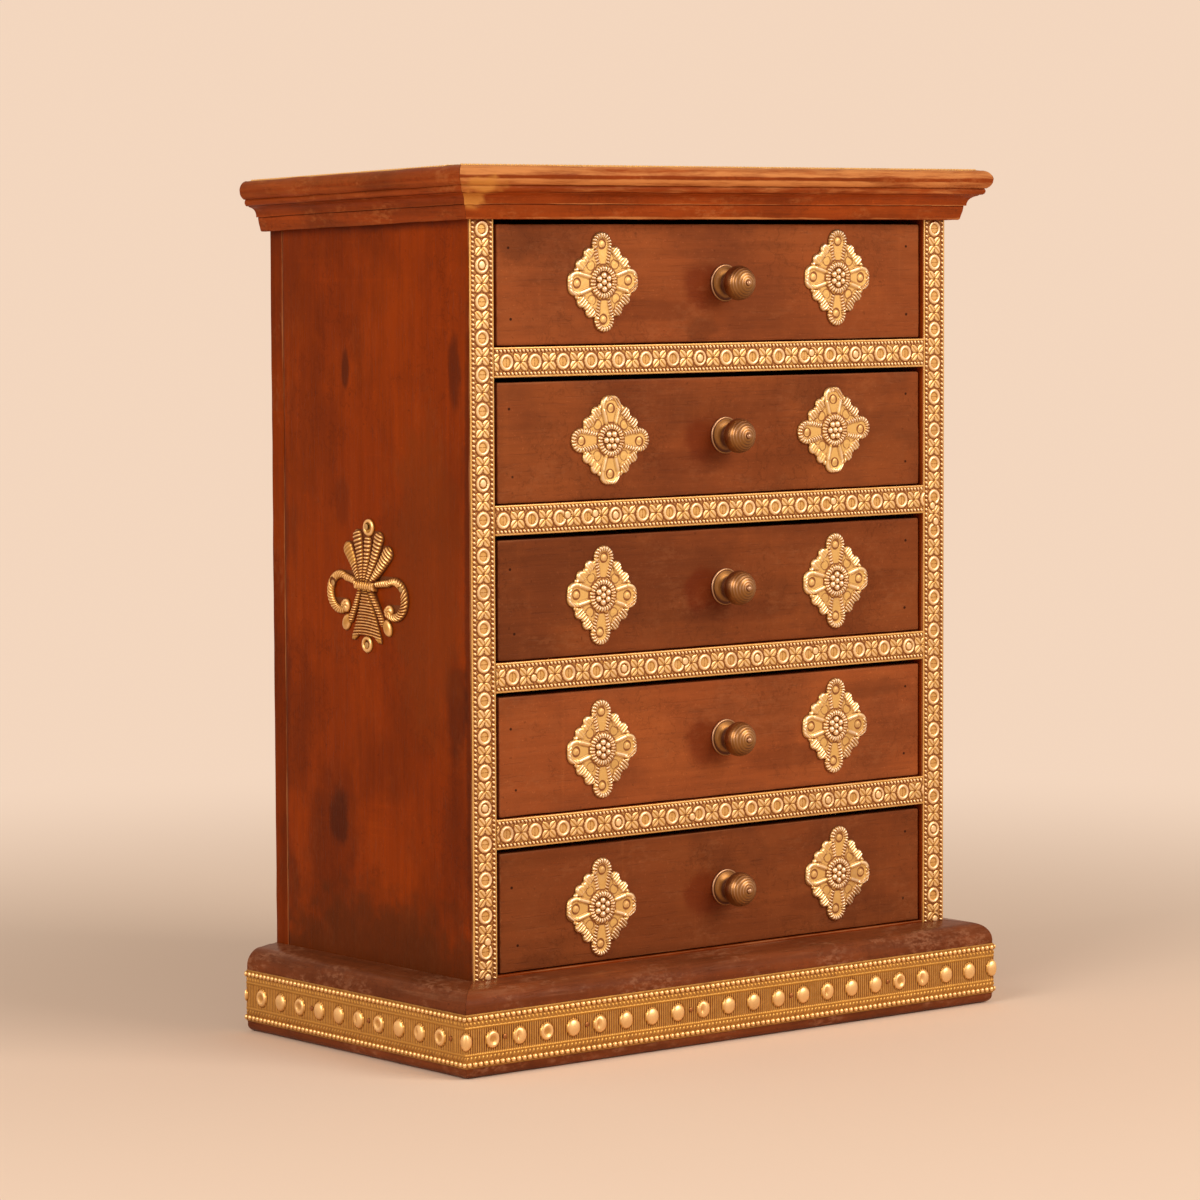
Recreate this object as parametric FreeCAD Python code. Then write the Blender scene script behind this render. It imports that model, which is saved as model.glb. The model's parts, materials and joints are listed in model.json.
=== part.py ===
import FreeCAD, Part
import math
import os

V = FreeCAD.Vector

# Table-top chest of five drawers, in millimetres.
# Front faces -Y, +Z is up, the origin is under the middle of the footprint.

# Whole chest
overall_height = 306.0
carcass_width = 218.6
carcass_depth = 115.0
drawer_count = 5

# The top is not level: it falls this much from front to back
top_fall = 3.4

# Embossed brass strip on the front edges and round the top
strip_width = 10.2
strip_thickness = 0.6
strip_rib_width = 1.3
strip_rib_height = 0.4
strip_side_margin = 0.35
strip_rail_margin = 0.1
strip_joint = 0.1
top_strip_inset = 0.4

# Carcass boards
side_thickness = strip_width + 2 * strip_side_margin
divider_thickness = strip_width + 2 * strip_rail_margin
back_thickness = 7.4
top_thickness = 9.0
floor_thickness = 8.0
floor_lip = 0.8
housing_depth = 3.0

# Plinth moulding
plinth_height = 30.6
plinth_projection = 12.8
plinth_round = 6.3
plinth_fall = 0.8
plinth_toe = 2.8

# Brass strip with a row of domes round the plinth
plinth_strip_width = 18.4
plinth_strip_rise = 3.7
plinth_strip_rib = 2.2
dome_pitch = 11.6
dome_radius = 2.4
dome_crown_radius = 1.4
dome_height = 1.0

# Cornice moulding
cornice_height = 17.4
cornice_projection = 12.6
cornice_nose = 3.3
cornice_nose_height = 5.9
cornice_nose_undercut = 1.3
cornice_fillet = 0.8
cornice_cove_hollow = 0.22
cornice_step = 0.6
cornice_fascia_height = 4.4
cornice_fascia_projection = 4.6
cornice_fascia_fall = 1.0

# Drawers
drawer_gap = 1.2
drawer_top_gap = 1.6
drawer_lift = 0.3
drawer_back_gap = 2.0
drawer_recess = 1.0
drawer_front_thickness = 9.0
drawer_side_thickness = 6.0
drawer_back_thickness = 6.0
drawer_bottom_thickness = 3.0
drawer_side_drop = 4.0
groove_rise = 3.0
groove_depth = 2.0

# Turned brass knob
knob_radius = 6.1
knob_flange_radius = 6.5
knob_flange_rim = 0.9
knob_flange_rise = 2.6
knob_neck_radius = 3.1
knob_neck_length = 1.2
knob_head_length = 9.2
knob_nipple_radius = 0.9
knob_nipple_tip = 0.45
knob_nipple_rise = 0.8
knob_stud_radius = 1.6
knob_stud_length = 7.5
knob_shift = 4.3
knob_sides = 18

# Head of the knob: shares of its radius and of its length
knob_head_shape = ((0.84, 0.05), (1.0, 0.18), (1.0, 0.34), (0.9, 0.58), (0.7, 0.8), (0.42, 0.95))

# Cast lozenge mounts on the drawer fronts
lozenge_width = 30.0
lozenge_height = 33.4
lozenge_plate = 0.8
lozenge_side_lobe = 4.2
lozenge_tip_lobe = 4.0
lozenge_scallop = 2.9
lozenge_petal = 0.6
lozenge_petal_gap = 0.4
lozenge_ring_radius = 5.8
lozenge_ring_rise = 0.4
lozenge_ring_slope = 0.4
lozenge_boss_radius = 3.6
lozenge_boss_crown = 2.2
lozenge_boss_rise = 1.1
lozenge_spread = 54.0
lobe_sides = 8
ring_sides = 10

# Scallops of the lozenge: shares of the way to its side and tip pins
scallop_places = ((0.42, 0.68), (0.76, 0.38))

# How far the left and right lozenge of each drawer, from the top, was set off its place by hand
left_lozenge_shift = (3.1, 6.1, 2.2, 1.9, 1.4)
right_lozenge_shift = (3.0, 1.4, 2.3, 1.9, 3.3)
left_lozenge_lift = (0.7, -0.2, -0.2, 0.0, -1.6)
right_lozenge_lift = (1.5, 0.4, -0.4, 0.6, 0.2)

# Drawers whose lozenges were pinned on a quarter turn round
turned_lozenge_drawers = (2,)
quarter_turn = 90

# Cast plume mounts on the sides
plume_width = 46.0
plume_height = 47.0
plume_plate = 0.8
plume_relief = 0.7
plume_band_relief = 1.4
plume_petal = 2.1
plume_petal_foot = 0.8
plume_arm = 1.5
plume_arm_foot = 1.0
plume_scroll_width = 3.2
plume_loop = 2.8
plume_centre_rise = 161.5
petal_steps = 4
scroll_steps = 8

# Outline of the plume: shares of its half width and half height
middle_petal_rise = 0.7
inner_petal = ((0.06, 0), (0.3, 0.72))
outer_petal = ((0.12, 0), (0.54, 0.46))
scroll_radius_share = 0.26
scroll_drop = 0.08
scroll_arm = (0.1, 0.13)
leg = ((0.12, -0.04), (0.5, -0.5))
band_half = (0.24, 0.06)
skirt_waist = (0.1, -0.04)
skirt_foot = (0.4, -0.82)
skirt_hem = 0.77

# Brass pins and nails, with small hammered heads
small_sides = 6
pin_head_radius = 1.1
pin_head_height = 0.5
pin_shank = 0.8
pin_length = 6.0
nail_head_radius = 0.9
nail_count = 5
fastener_clearance = 0.05

# Levels and planes that follow from the sizes above
front_build = plinth_projection + strip_thickness + dome_height
back_y = (carcass_depth + front_build) / 2
front_y = back_y - carcass_depth
half_width = carcass_width / 2
opening_half = half_width - side_thickness
inner_back_y = back_y - back_thickness
top_slope = top_fall / carcass_depth
top_strip_edge = cornice_projection - cornice_nose - top_strip_inset
wood_top = overall_height - strip_thickness - strip_rib_height - top_strip_edge * top_slope
top_under = wood_top - top_thickness
cornice_bottom = wood_top - cornice_height
floor_top = plinth_height + floor_lip
clear_height = cornice_bottom - floor_top
opening_height = (clear_height - (drawer_count - 1) * divider_thickness) / drawer_count
opening_pitch = opening_height + divider_thickness
drawer_half = opening_half - drawer_gap
drawer_front_y = front_y + drawer_recess
drawer_inner_y = drawer_front_y + drawer_front_thickness
drawer_back_y = inner_back_y - drawer_back_gap
drawer_front_height = opening_height - drawer_top_gap - drawer_lift
drawer_side_height = drawer_front_height - drawer_side_drop
pin_hole = pin_shank + 2 * fastener_clearance


def opening_bottom(number):
    return floor_top + (drawer_count - number) * opening_pitch


def block(x0, x1, y0, y1, z0, z1):
    return Part.makeBox(x1 - x0, y1 - y0, z1 - z0, V(x0, y0, z0))


def profile_face(start, moves, place):
    """Closed face: each move is (end,) for a line or (through, end) for an arc."""
    edges = []
    here = start
    for move in moves:
        if len(move) == 2:
            edges.append(Part.Arc(place(here), place(move[0]), place(move[1])).toShape())
        else:
            edges.append(Part.makeLine(place(here), place(move[0])))
        here = move[-1]
    edges.append(Part.makeLine(place(here), place(start)))
    return Part.Face(Part.Wire(edges))


def flat_face(corners):
    return Part.Face(Part.makePolygon(corners + corners[:1]))


def prism(points, z0, z1):
    return flat_face([V(x, y, z0) for x, y in points]).extrude(V(0, 0, z1 - z0))


def turned(sides, profile):
    """Many-sided turning about Z through the (radius, height) pairs of a profile."""
    turns = [2 * math.pi * index / sides for index in range(sides)]
    rings = [[V(r * math.cos(t), r * math.sin(t), z) for t in turns] for r, z in profile]
    faces = [flat_face(rings[0]), flat_face(rings[-1])]
    for lower, upper in zip(rings, rings[1:]):
        for index in range(sides):
            faces.append(flat_face([lower[index - 1], lower[index], upper[index], upper[index - 1]]))
    solid = Part.Solid(Part.Shell(faces))
    if solid.Volume < 0:
        solid.reverse()
    return solid


def post(sides, foot_radius, top_radius, z0, z1):
    return turned(sides, [(foot_radius, z0), (top_radius, z1)])


def fused(shapes):
    return shapes[0].multiFuse(shapes[1:]).removeSplitter()


def placed(shape, origin, right, up):
    """Set a shape drawn in (right, up, out) coordinates on a surface."""
    turn = FreeCAD.Rotation(right, up, right.cross(up), "XYZ")
    copy = shape.copy()
    copy.Placement = FreeCAD.Placement(origin, turn).multiply(shape.Placement)
    return copy


def on_front(shape, x, z, y):
    return placed(shape, V(x, y, z), V(1, 0, 0), V(0, 0, 1))


def on_left(shape, y, z):
    return placed(shape, V(-half_width, y, z), V(0, -1, 0), V(0, 0, 1))


def on_right(shape, y, z):
    return placed(shape, V(half_width, y, z), V(0, 1, 0), V(0, 0, 1))


def save(name, shapes):
    solids = [solid for shape in shapes for solid in shape.Solids]
    result = solids[0] if len(solids) == 1 else Part.makeCompound(solids)
    result.exportStep("parts/" + name + ".step")


# Pins, nails and their holes, drawn pointing out along +Z from the surface

def pin(seat):
    head = post(small_sides, pin_head_radius, pin_head_radius, seat, seat + pin_head_height)
    half = pin_shank / 2
    shank = block(-half, half, -half, half, seat - pin_length, seat)
    return head.fuse(shank).removeSplitter()


def pin_bore(top):
    half = pin_hole / 2
    floor = -pin_length - fastener_clearance
    return block(-half, half, -half, half, floor, top)


def moved(shape, x, y):
    copy = shape.copy()
    copy.translate(V(x, y, 0))
    return copy


# The falling top

def leaned(shape):
    """Lean a shape of the top towards the back."""
    copy = shape.copy()
    copy.rotate(V(0, front_y, cornice_bottom), V(1, 0, 0), -math.degrees(math.atan(top_slope)))
    return copy


def top_piece(shape):
    """Piece of the top, leaned and trimmed flush with the back."""
    far = half_width + cornice_projection
    behind = block(-far, far, back_y, back_y + carcass_depth, 0, overall_height)
    return leaned(shape).cut(behind)


def under_top(board):
    """Board cut to fit under the leaning top and behind the leaning cornice."""
    tip = front_y - cornice_projection
    cap = block(-half_width, half_width, tip, back_y + carcass_depth, top_under, overall_height)
    face = block(-half_width, half_width, tip, front_y, cornice_bottom, overall_height)
    return board.cut([leaned(cap), leaned(face)])


# Mouldings

def mitred_set(start, moves, reach):
    """Front, left and right lengths of one moulding, mitred at the front corners."""
    z0 = 0
    z1 = overall_height
    far = half_width + reach
    tip = front_y - reach
    span = V(2 * far, 0, 0)
    run = V(0, back_y - tip, 0)
    front = profile_face(start, moves, lambda p: V(-far, front_y - p[0], p[1])).extrude(span)
    left = profile_face(start, moves, lambda p: V(-half_width - p[0], tip, p[1])).extrude(run)
    right = profile_face(start, moves, lambda p: V(half_width + p[0], tip, p[1])).extrude(run)
    front_plan = [(-half_width, front_y), (half_width, front_y), (far, tip), (-far, tip)]
    side_plan = [(half_width, front_y), (far, tip), (far, back_y), (half_width, back_y)]
    other_plan = [(-x, y) for x, y in side_plan]
    front = front.common(prism(front_plan, z0, z1))
    left = left.common(prism(other_plan, z0, z1))
    right = right.common(prism(side_plan, z0, z1))
    return front, left, right


def plinth_mouldings():
    out = plinth_projection
    shoulder = plinth_height - plinth_fall
    turn = math.sqrt(0.5)
    toe_mid = (out - plinth_toe * (1 - turn), plinth_toe * (1 - turn))
    round_mid = (out - plinth_round * (1 - turn), shoulder - plinth_round * (1 - turn))
    moves = [
        ((out - plinth_toe, 0),),
        (toe_mid, (out, plinth_toe)),
        ((out, shoulder - plinth_round),),
        (round_mid, (out - plinth_round, shoulder)),
        ((0, plinth_height),),
    ]
    return mitred_set((0, 0), moves, out)


def cornice_mouldings():
    out = cornice_projection
    nose = cornice_nose
    under = wood_top - cornice_nose_height
    undercut = out - cornice_nose_undercut
    fillet = undercut - cornice_step
    cove_top = (fillet - cornice_step, under - cornice_fillet)
    cove_foot = cornice_bottom + cornice_fascia_height
    cove_low = (cornice_fascia_projection + cornice_step, cove_foot)
    hollow = cornice_cove_hollow
    cove_mid = (
        (cove_top[0] + cove_low[0]) / 2 - hollow * (cove_top[1] - cove_low[1]),
        (cove_top[1] + cove_low[1]) / 2 + hollow * (cove_top[0] - cove_low[0]),
    )
    moves = [
        ((out - nose, wood_top),),
        ((out, wood_top - nose), (undercut, under)),
        ((fillet, under),),
        ((fillet, cove_top[1]),),
        (cove_top,),
        (cove_mid, cove_low),
        ((cornice_fascia_projection, cove_foot),),
        ((cornice_fascia_projection - cornice_fascia_fall, cornice_bottom),),
        ((0, cornice_bottom),),
    ]
    return mitred_set((0, wood_top), moves, out)


def nail_places():
    pitch = carcass_width / nail_count
    return [(index - (nail_count - 1) / 2) * pitch for index in range(nail_count)]


def nail_level():
    return wood_top - cornice_nose


def nails():
    """Nails through the nose of the front cornice into the top board."""
    reach = cornice_projection + pin_length
    half = pin_shank / 2
    head = post(small_sides, nail_head_radius, nail_head_radius, -pin_head_height, 0)
    shank = block(-half, half, -half, half, -reach, -pin_head_height)
    nail = head.fuse(shank).removeSplitter()
    face = front_y - cornice_projection
    return [leaned(on_front(nail, x, nail_level(), face)) for x in nail_places()]


def nail_bores():
    reach = cornice_projection + pin_length + fastener_clearance
    half = pin_hole / 2
    sink = pin_head_height + fastener_clearance
    wide = nail_head_radius + 2 * fastener_clearance
    bore = post(small_sides, wide, wide, -sink, 1).fuse(block(-half, half, -half, half, -reach, 0))
    face = front_y - cornice_projection
    return [on_front(bore, x, nail_level(), face) for x in nail_places()]


# Carcass boards

def housings():
    """Spaces taken by the floor and the dividers in the sides."""
    reach = opening_half + housing_depth
    spaces = [(floor_top - floor_thickness, floor_top)]
    for number in range(1, drawer_count):
        top = opening_bottom(number)
        spaces.append((top - divider_thickness, top))
    return [block(-reach, reach, front_y, inner_back_y, z0, z1) for z0, z1 in spaces]


def side_panels():
    left = block(-half_width, -opening_half, front_y, inner_back_y, 0, top_under)
    right = block(opening_half, half_width, front_y, inner_back_y, 0, top_under)
    slots = housings()
    left = under_top(left).cut(slots).cut(plume_bores(on_left))
    right = under_top(right).cut(slots).cut(plume_bores(on_right))
    return left, right


def back_panel():
    return under_top(block(-half_width, half_width, inner_back_y, back_y, 0, top_under))


def top_board():
    board = block(-half_width, half_width, front_y, back_y, top_under, wood_top)
    return top_piece(board.cut(nail_bores()))


# Brass strips

def strip_section(across, out, along):
    """Strip with a rib along each edge; across, out and along are vectors."""
    top = strip_thickness
    crest = strip_thickness + strip_rib_height
    inner = strip_width - strip_rib_width
    start = (0, 0)
    moves = [
        ((strip_width, 0),),
        ((strip_width, crest),),
        ((inner, crest),),
        ((inner, top),),
        ((strip_rib_width, top),),
        ((strip_rib_width, crest),),
        ((0, crest),),
    ]
    return profile_face(start, moves, lambda p: across * p[0] + out * p[1]).extrude(along)


def stile_strips():
    length = V(0, 0, cornice_bottom - plinth_height)
    outer = half_width - strip_side_margin
    strip = strip_section(V(1, 0, 0), V(0, -1, 0), length)
    left = strip.copy()
    left.translate(V(-outer, front_y, plinth_height))
    right = strip.copy()
    right.translate(V(outer - strip_width, front_y, plinth_height))
    return left, right


def rail_strips():
    reach = half_width - strip_side_margin - strip_width - strip_joint
    strip = strip_section(V(0, 0, 1), V(0, -1, 0), V(2 * reach, 0, 0))
    strips = []
    for number in range(1, drawer_count):
        level = opening_bottom(number) - divider_thickness + strip_rail_margin
        copy = strip.copy()
        copy.translate(V(-reach, front_y, level))
        strips.append(copy)
    return strips


def top_strips():
    outer = half_width + top_strip_edge
    front_edge = front_y - top_strip_edge
    across = strip_section(V(0, 1, 0), V(0, 0, 1), V(2 * outer, 0, 0))
    across.translate(V(-outer, front_edge, wood_top))
    side_start = front_edge + strip_width + strip_joint
    back_run = V(0, back_y - side_start, 0)
    side = strip_section(V(1, 0, 0), V(0, 0, 1), back_run)
    left = side.copy()
    left.translate(V(-outer, side_start, wood_top))
    right = side.copy()
    right.translate(V(outer - strip_width, side_start, wood_top))
    return [top_piece(strip) for strip in (across, left, right)]


def wrap(z0, z1, depth):
    """Band bent round the front and both sides of the plinth."""
    x = half_width + plinth_projection
    y = front_y - plinth_projection
    front = block(-x, x, y - depth, y, z0, z1)
    left = block(-x - depth, -x, y, back_y, z0, z1)
    right = block(x, x + depth, y, back_y, z0, z1)
    corner_left = Part.makeCylinder(depth, z1 - z0, V(-x, y, z0), V(0, 0, 1), 90)
    corner_left.rotate(V(-x, y, z0), V(0, 0, 1), 180)
    corner_right = Part.makeCylinder(depth, z1 - z0, V(x, y, z0), V(0, 0, 1), 90)
    corner_right.rotate(V(x, y, z0), V(0, 0, 1), 270)
    return fused([front, left, right, corner_left, corner_right])


def dome():
    """Low faceted dome on the strip's face, sunk a little for joining."""
    sink = strip_thickness / 2
    return post(small_sides, dome_radius, dome_crown_radius, -sink, dome_height)


def dome_stations(length):
    """Even places between a front corner and the other end of a length."""
    count = max(2, int(round(length / dome_pitch)))
    step = length / count
    return [step * index for index in range(1, count)]


def plinth_strip():
    low = plinth_strip_rise
    high = low + plinth_strip_width
    raised = strip_thickness + strip_rib_height
    bands = [
        wrap(low, high, strip_thickness),
        wrap(low, low + plinth_strip_rib, raised),
        wrap(high - plinth_strip_rib, high, raised),
    ]
    x = half_width + plinth_projection
    y = front_y - plinth_projection
    middle = (low + high) / 2
    cap = dome()
    domes = []
    for station in dome_stations(2 * x):
        spot = V(station - x, y - strip_thickness, middle)
        domes.append(placed(cap, spot, V(1, 0, 0), V(0, 0, 1)))
    for station in dome_stations(back_y - y):
        left = V(-x - strip_thickness, y + station, middle)
        right = V(x + strip_thickness, y + station, middle)
        domes.append(placed(cap, left, V(0, -1, 0), V(0, 0, 1)))
        domes.append(placed(cap, right, V(0, 1, 0), V(0, 0, 1)))
    return fused(bands + domes)


# Ornamental mounts, drawn flat with +Z out of the surface

def arc_points(x, y, radius, first, last, steps):
    turn = (last - first) / steps
    angles = [math.radians(first + turn * index) for index in range(steps + 1)]
    return [(x + radius * math.cos(angle), y + radius * math.sin(angle)) for angle in angles]


def petal(x0, y0, r0, x1, y1, r1, height):
    """Tapered petal from a narrow foot to a round tip."""
    aim = math.degrees(math.atan2(y1 - y0, x1 - x0))
    foot = arc_points(x0, y0, r0, aim + 90, aim + 270, 2)
    tip = arc_points(x1, y1, r1, aim - 90, aim + 90, petal_steps)
    return prism(foot + tip, 0, height)


def lozenge_pins():
    x = lozenge_width / 2 - lozenge_side_lobe
    y = lozenge_height / 2 - lozenge_tip_lobe
    return [(x, 0), (-x, 0), (0, y), (0, -y)]


def lozenge():
    """Lobed and scalloped plate with petals, ring and boss, pierced for four pins."""
    x = lozenge_width / 2 - lozenge_side_lobe
    y = lozenge_height / 2 - lozenge_tip_lobe
    raised = lozenge_plate + lozenge_petal
    shapes = [prism([(x, 0), (0, y), (-x, 0), (0, -y)], 0, lozenge_plate)]
    for px, py in lozenge_pins():
        lobe = lozenge_tip_lobe if px == 0 else lozenge_side_lobe
        shapes.append(moved(post(lobe_sides, lobe, lobe, 0, lozenge_plate), px, py))
        wide = lobe - pin_head_radius
        run = math.hypot(px, py) - pin_head_radius - lozenge_petal_gap
        leaf = prism([(0, -wide / 2), (run, -wide / 2), (run, wide / 2), (0, wide / 2)], 0, raised)
        leaf.rotate(V(0, 0, 0), V(0, 0, 1), math.degrees(math.atan2(py, px)))
        shapes.append(leaf)
    scallop = post(lobe_sides, lozenge_scallop, lozenge_scallop, 0, lozenge_plate)
    for sx in (-1, 1):
        for sy in (-1, 1):
            shapes += [moved(scallop, sx * across * x, sy * up * y) for across, up in scallop_places]
    ring = lozenge_ring_radius
    crest = raised + lozenge_ring_rise
    shapes.append(post(ring_sides, ring, ring - lozenge_ring_slope, 0, crest))
    shapes.append(post(ring_sides, lozenge_boss_radius, lozenge_boss_crown, 0, crest + lozenge_boss_rise))
    body = fused(shapes)
    return body.cut([moved(pin_bore(raised + 1), px, py) for px, py in lozenge_pins()])


def arc_bar(x, y, radius, width, first, last, height):
    """Part of a flat ring between two angles in degrees."""
    outer = arc_points(x, y, radius + width / 2, first, last, scroll_steps)
    inner = arc_points(x, y, radius - width / 2, last, first, scroll_steps)
    return prism(outer + inner, 0, height)


def plume_pins():
    x = plume_width / 2 - plume_scroll_width
    y = plume_height / 2 - plume_loop
    return [(x, 0), (-x, 0), (0, y), (0, -y)]


def plume():
    """Five petals tied by a band, two scrolls, a flared skirt with two legs and end loops."""
    w = plume_width / 2
    h = plume_height / 2
    raised = plume_plate + plume_relief

    def leaf(side, ends, foot_radius):
        (x0, y0), (x1, y1) = ends
        return petal(side * x0 * w, y0 * h, foot_radius, side * x1 * w, y1 * h, plume_petal, raised)

    shapes = [petal(0, 0, plume_petal_foot, 0, middle_petal_rise * h, plume_petal, raised)]
    radius = scroll_radius_share * w
    drop = -scroll_drop * h
    for side, first, last in ((1, 150, -140), (-1, 30, 320)):
        shapes.append(leaf(side, inner_petal, plume_petal_foot))
        shapes.append(leaf(side, outer_petal, plume_petal_foot))
        middle = side * (w - radius - plume_scroll_width / 2)
        shapes.append(arc_bar(middle, drop, radius, plume_scroll_width, first, last, raised))
        curl = arc_points(middle, drop, radius, last, last, 1)[0]
        shapes.append(moved(post(lobe_sides, plume_petal, plume_petal, 0, raised), *curl))
        start = side * scroll_arm[0] * w
        end = middle - side * (radius - plume_arm)
        shapes.append(petal(start, 0, plume_arm_foot, end, scroll_arm[1] * h, plume_arm, raised))
        shapes.append(leaf(side, leg, plume_arm_foot))
    bx, by = band_half
    band = [(-bx * w, -by * h), (bx * w, -by * h), (bx * w, by * h), (-bx * w, by * h)]
    shapes.append(prism(band, 0, plume_plate + plume_band_relief))
    (wx, wy), (fx, fy) = skirt_waist, skirt_foot
    skirt = [(wx * w, wy * h), (fx * w, fy * h), (0, -skirt_hem * h), (-fx * w, fy * h), (-wx * w, wy * h)]
    shapes.append(prism(skirt, 0, raised))
    loop = post(lobe_sides, plume_loop, plume_loop, 0, raised)
    shapes += [moved(loop, px, py) for px, py in plume_pins()]
    body = fused(shapes)
    return body.cut([moved(pin_bore(raised + 1), px, py) for px, py in plume_pins()])


def plume_middle_y():
    return (front_y + back_y) / 2


def plume_bores(place):
    bore = pin_bore(1)
    return [place(moved(bore, px, py), plume_middle_y(), plume_centre_rise) for px, py in plume_pins()]


def side_mounts():
    body = plume()
    spot = (plume_middle_y(), plume_centre_rise)
    return [on_left(body, *spot), on_right(body, *spot)]


def side_mount_pins():
    nail = pin(plume_plate + plume_relief)
    spot = (plume_middle_y(), plume_centre_rise)
    pins = []
    for place in (on_left, on_right):
        pins += [place(moved(nail, px, py), *spot) for px, py in plume_pins()]
    return pins


# Drawers

def knob():
    """Turned knob on its stud, standing on z = 0."""
    neck_top = knob_flange_rise + knob_neck_length
    profile = [
        (knob_flange_radius, 0),
        (knob_flange_radius, knob_flange_rim),
        (knob_neck_radius, knob_flange_rise),
        (knob_neck_radius, neck_top),
    ]
    profile += [(r * knob_radius, neck_top + z * knob_head_length) for r, z in knob_head_shape]
    crown = neck_top + knob_head_length
    profile += [(knob_nipple_radius, crown), (knob_nipple_tip, crown + knob_nipple_rise)]
    stud = post(small_sides, knob_stud_radius, knob_stud_radius, -knob_stud_length, knob_flange_rim / 2)
    return fused([turned(knob_sides, profile), stud])


def drawer_centre(number):
    return opening_bottom(number) + drawer_lift + drawer_front_height / 2


def mount_spots(number):
    """Middles of a drawer's two lozenges, as they were set by hand."""
    place = (number - 1) % len(left_lozenge_shift)
    middle = drawer_centre(number)
    return [(left_lozenge_shift[place] - lozenge_spread, middle + left_lozenge_lift[place]),
            (right_lozenge_shift[place] + lozenge_spread, middle + right_lozenge_lift[place])]


def as_pinned(shape, number):
    """A piece of a lozenge, turned the way the lozenge lies on its drawer."""
    shape = shape.copy()
    if number in turned_lozenge_drawers:
        shape.rotate(V(0, 0, 0), V(0, 0, 1), quarter_turn)
    return shape


def drawer_bottom_space(number):
    low = opening_bottom(number) + drawer_lift + groove_rise
    reach = drawer_half - drawer_side_thickness + groove_depth
    start = drawer_inner_y - groove_depth
    return block(-reach, reach, start, drawer_back_y, low, low + drawer_bottom_thickness)


def drawer_front(number):
    low = opening_bottom(number) + drawer_lift
    board = block(-drawer_half, drawer_half, drawer_front_y, drawer_inner_y, low, low + drawer_front_height)
    wide = knob_stud_radius + 2 * fastener_clearance
    stud = post(small_sides, wide, wide, -knob_stud_length - fastener_clearance, 1)
    cuts = [drawer_bottom_space(number), on_front(stud, knob_shift, drawer_centre(number), drawer_front_y)]
    bores = [as_pinned(moved(pin_bore(1), px, py), number) for px, py in lozenge_pins()]
    for x, z in mount_spots(number):
        cuts += [on_front(bore, x, z, drawer_front_y) for bore in bores]
    return board.cut(cuts)


def drawer_sides(number):
    low = opening_bottom(number) + drawer_lift
    high = low + drawer_side_height
    inner = drawer_half - drawer_side_thickness
    left = block(-drawer_half, -inner, drawer_inner_y, drawer_back_y, low, high)
    right = block(inner, drawer_half, drawer_inner_y, drawer_back_y, low, high)
    groove = drawer_bottom_space(number)
    return [left.cut(groove), right.cut(groove)]


def drawer_back(number):
    low = opening_bottom(number) + drawer_lift
    inner = drawer_half - drawer_side_thickness
    foot = low + groove_rise + drawer_bottom_thickness
    start = drawer_back_y - drawer_back_thickness
    return block(-inner, inner, start, drawer_back_y, foot, low + drawer_side_height)


def drawer_mounts(number):
    body = as_pinned(lozenge(), number)
    return [on_front(body, x, z, drawer_front_y) for x, z in mount_spots(number)]


def drawer_pins(number):
    nails = [as_pinned(moved(pin(lozenge_plate), px, py), number) for px, py in lozenge_pins()]
    pins = []
    for x, z in mount_spots(number):
        pins += [on_front(nail, x, z, drawer_front_y) for nail in nails]
    return pins


def build_carcass():
    left, right = side_panels()
    save("left_side_panel", [left])
    save("right_side_panel", [right])
    save("back_panel", [back_panel()])
    save("top_board", [top_board()])
    boards = housings()
    save("floor_board", [boards[0]])
    for number, board in enumerate(boards[1:], 1):
        save("divider_%d" % number, [board])
    front, left, right = cornice_mouldings()
    save("cornice_front", [leaned(front.cut(nail_bores()))])
    save("cornice_left", [top_piece(left)])
    save("cornice_right", [top_piece(right)])
    front, left, right = plinth_mouldings()
    save("plinth_front", [front])
    save("plinth_left", [left])
    save("plinth_right", [right])
    left, right = stile_strips()
    save("stile_strip_left", [left])
    save("stile_strip_right", [right])
    save("rail_strips", rail_strips())
    save("top_strips", top_strips())
    save("plinth_strip", [plinth_strip()])
    save("side_mounts", side_mounts())
    save("side_mount_pins", side_mount_pins())
    save("cornice_nails", nails())


def build_drawer(number):
    name = "drawer_%d_" % number
    save(name + "front", [drawer_front(number)])
    save(name + "sides", drawer_sides(number))
    save(name + "back", [drawer_back(number)])
    save(name + "bottom", [drawer_bottom_space(number)])
    save(name + "knob", [on_front(knob(), knob_shift, drawer_centre(number), drawer_front_y)])
    save(name + "mounts", drawer_mounts(number))
    save(name + "pins", drawer_pins(number))


os.makedirs("parts", exist_ok=True)
build_carcass()
for drawer_number in range(1, drawer_count + 1):
    build_drawer(drawer_number)
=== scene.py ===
"""Looks of a table-top chest of five drawers in worn hardwood with embossed brass trim."""
import json
import math
from contextlib import contextmanager

import bmesh
import bpy
import numpy as np
from bpy.props import FloatProperty, FloatVectorProperty, IntProperty, PointerProperty
from mathutils import Matrix, Vector

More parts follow.
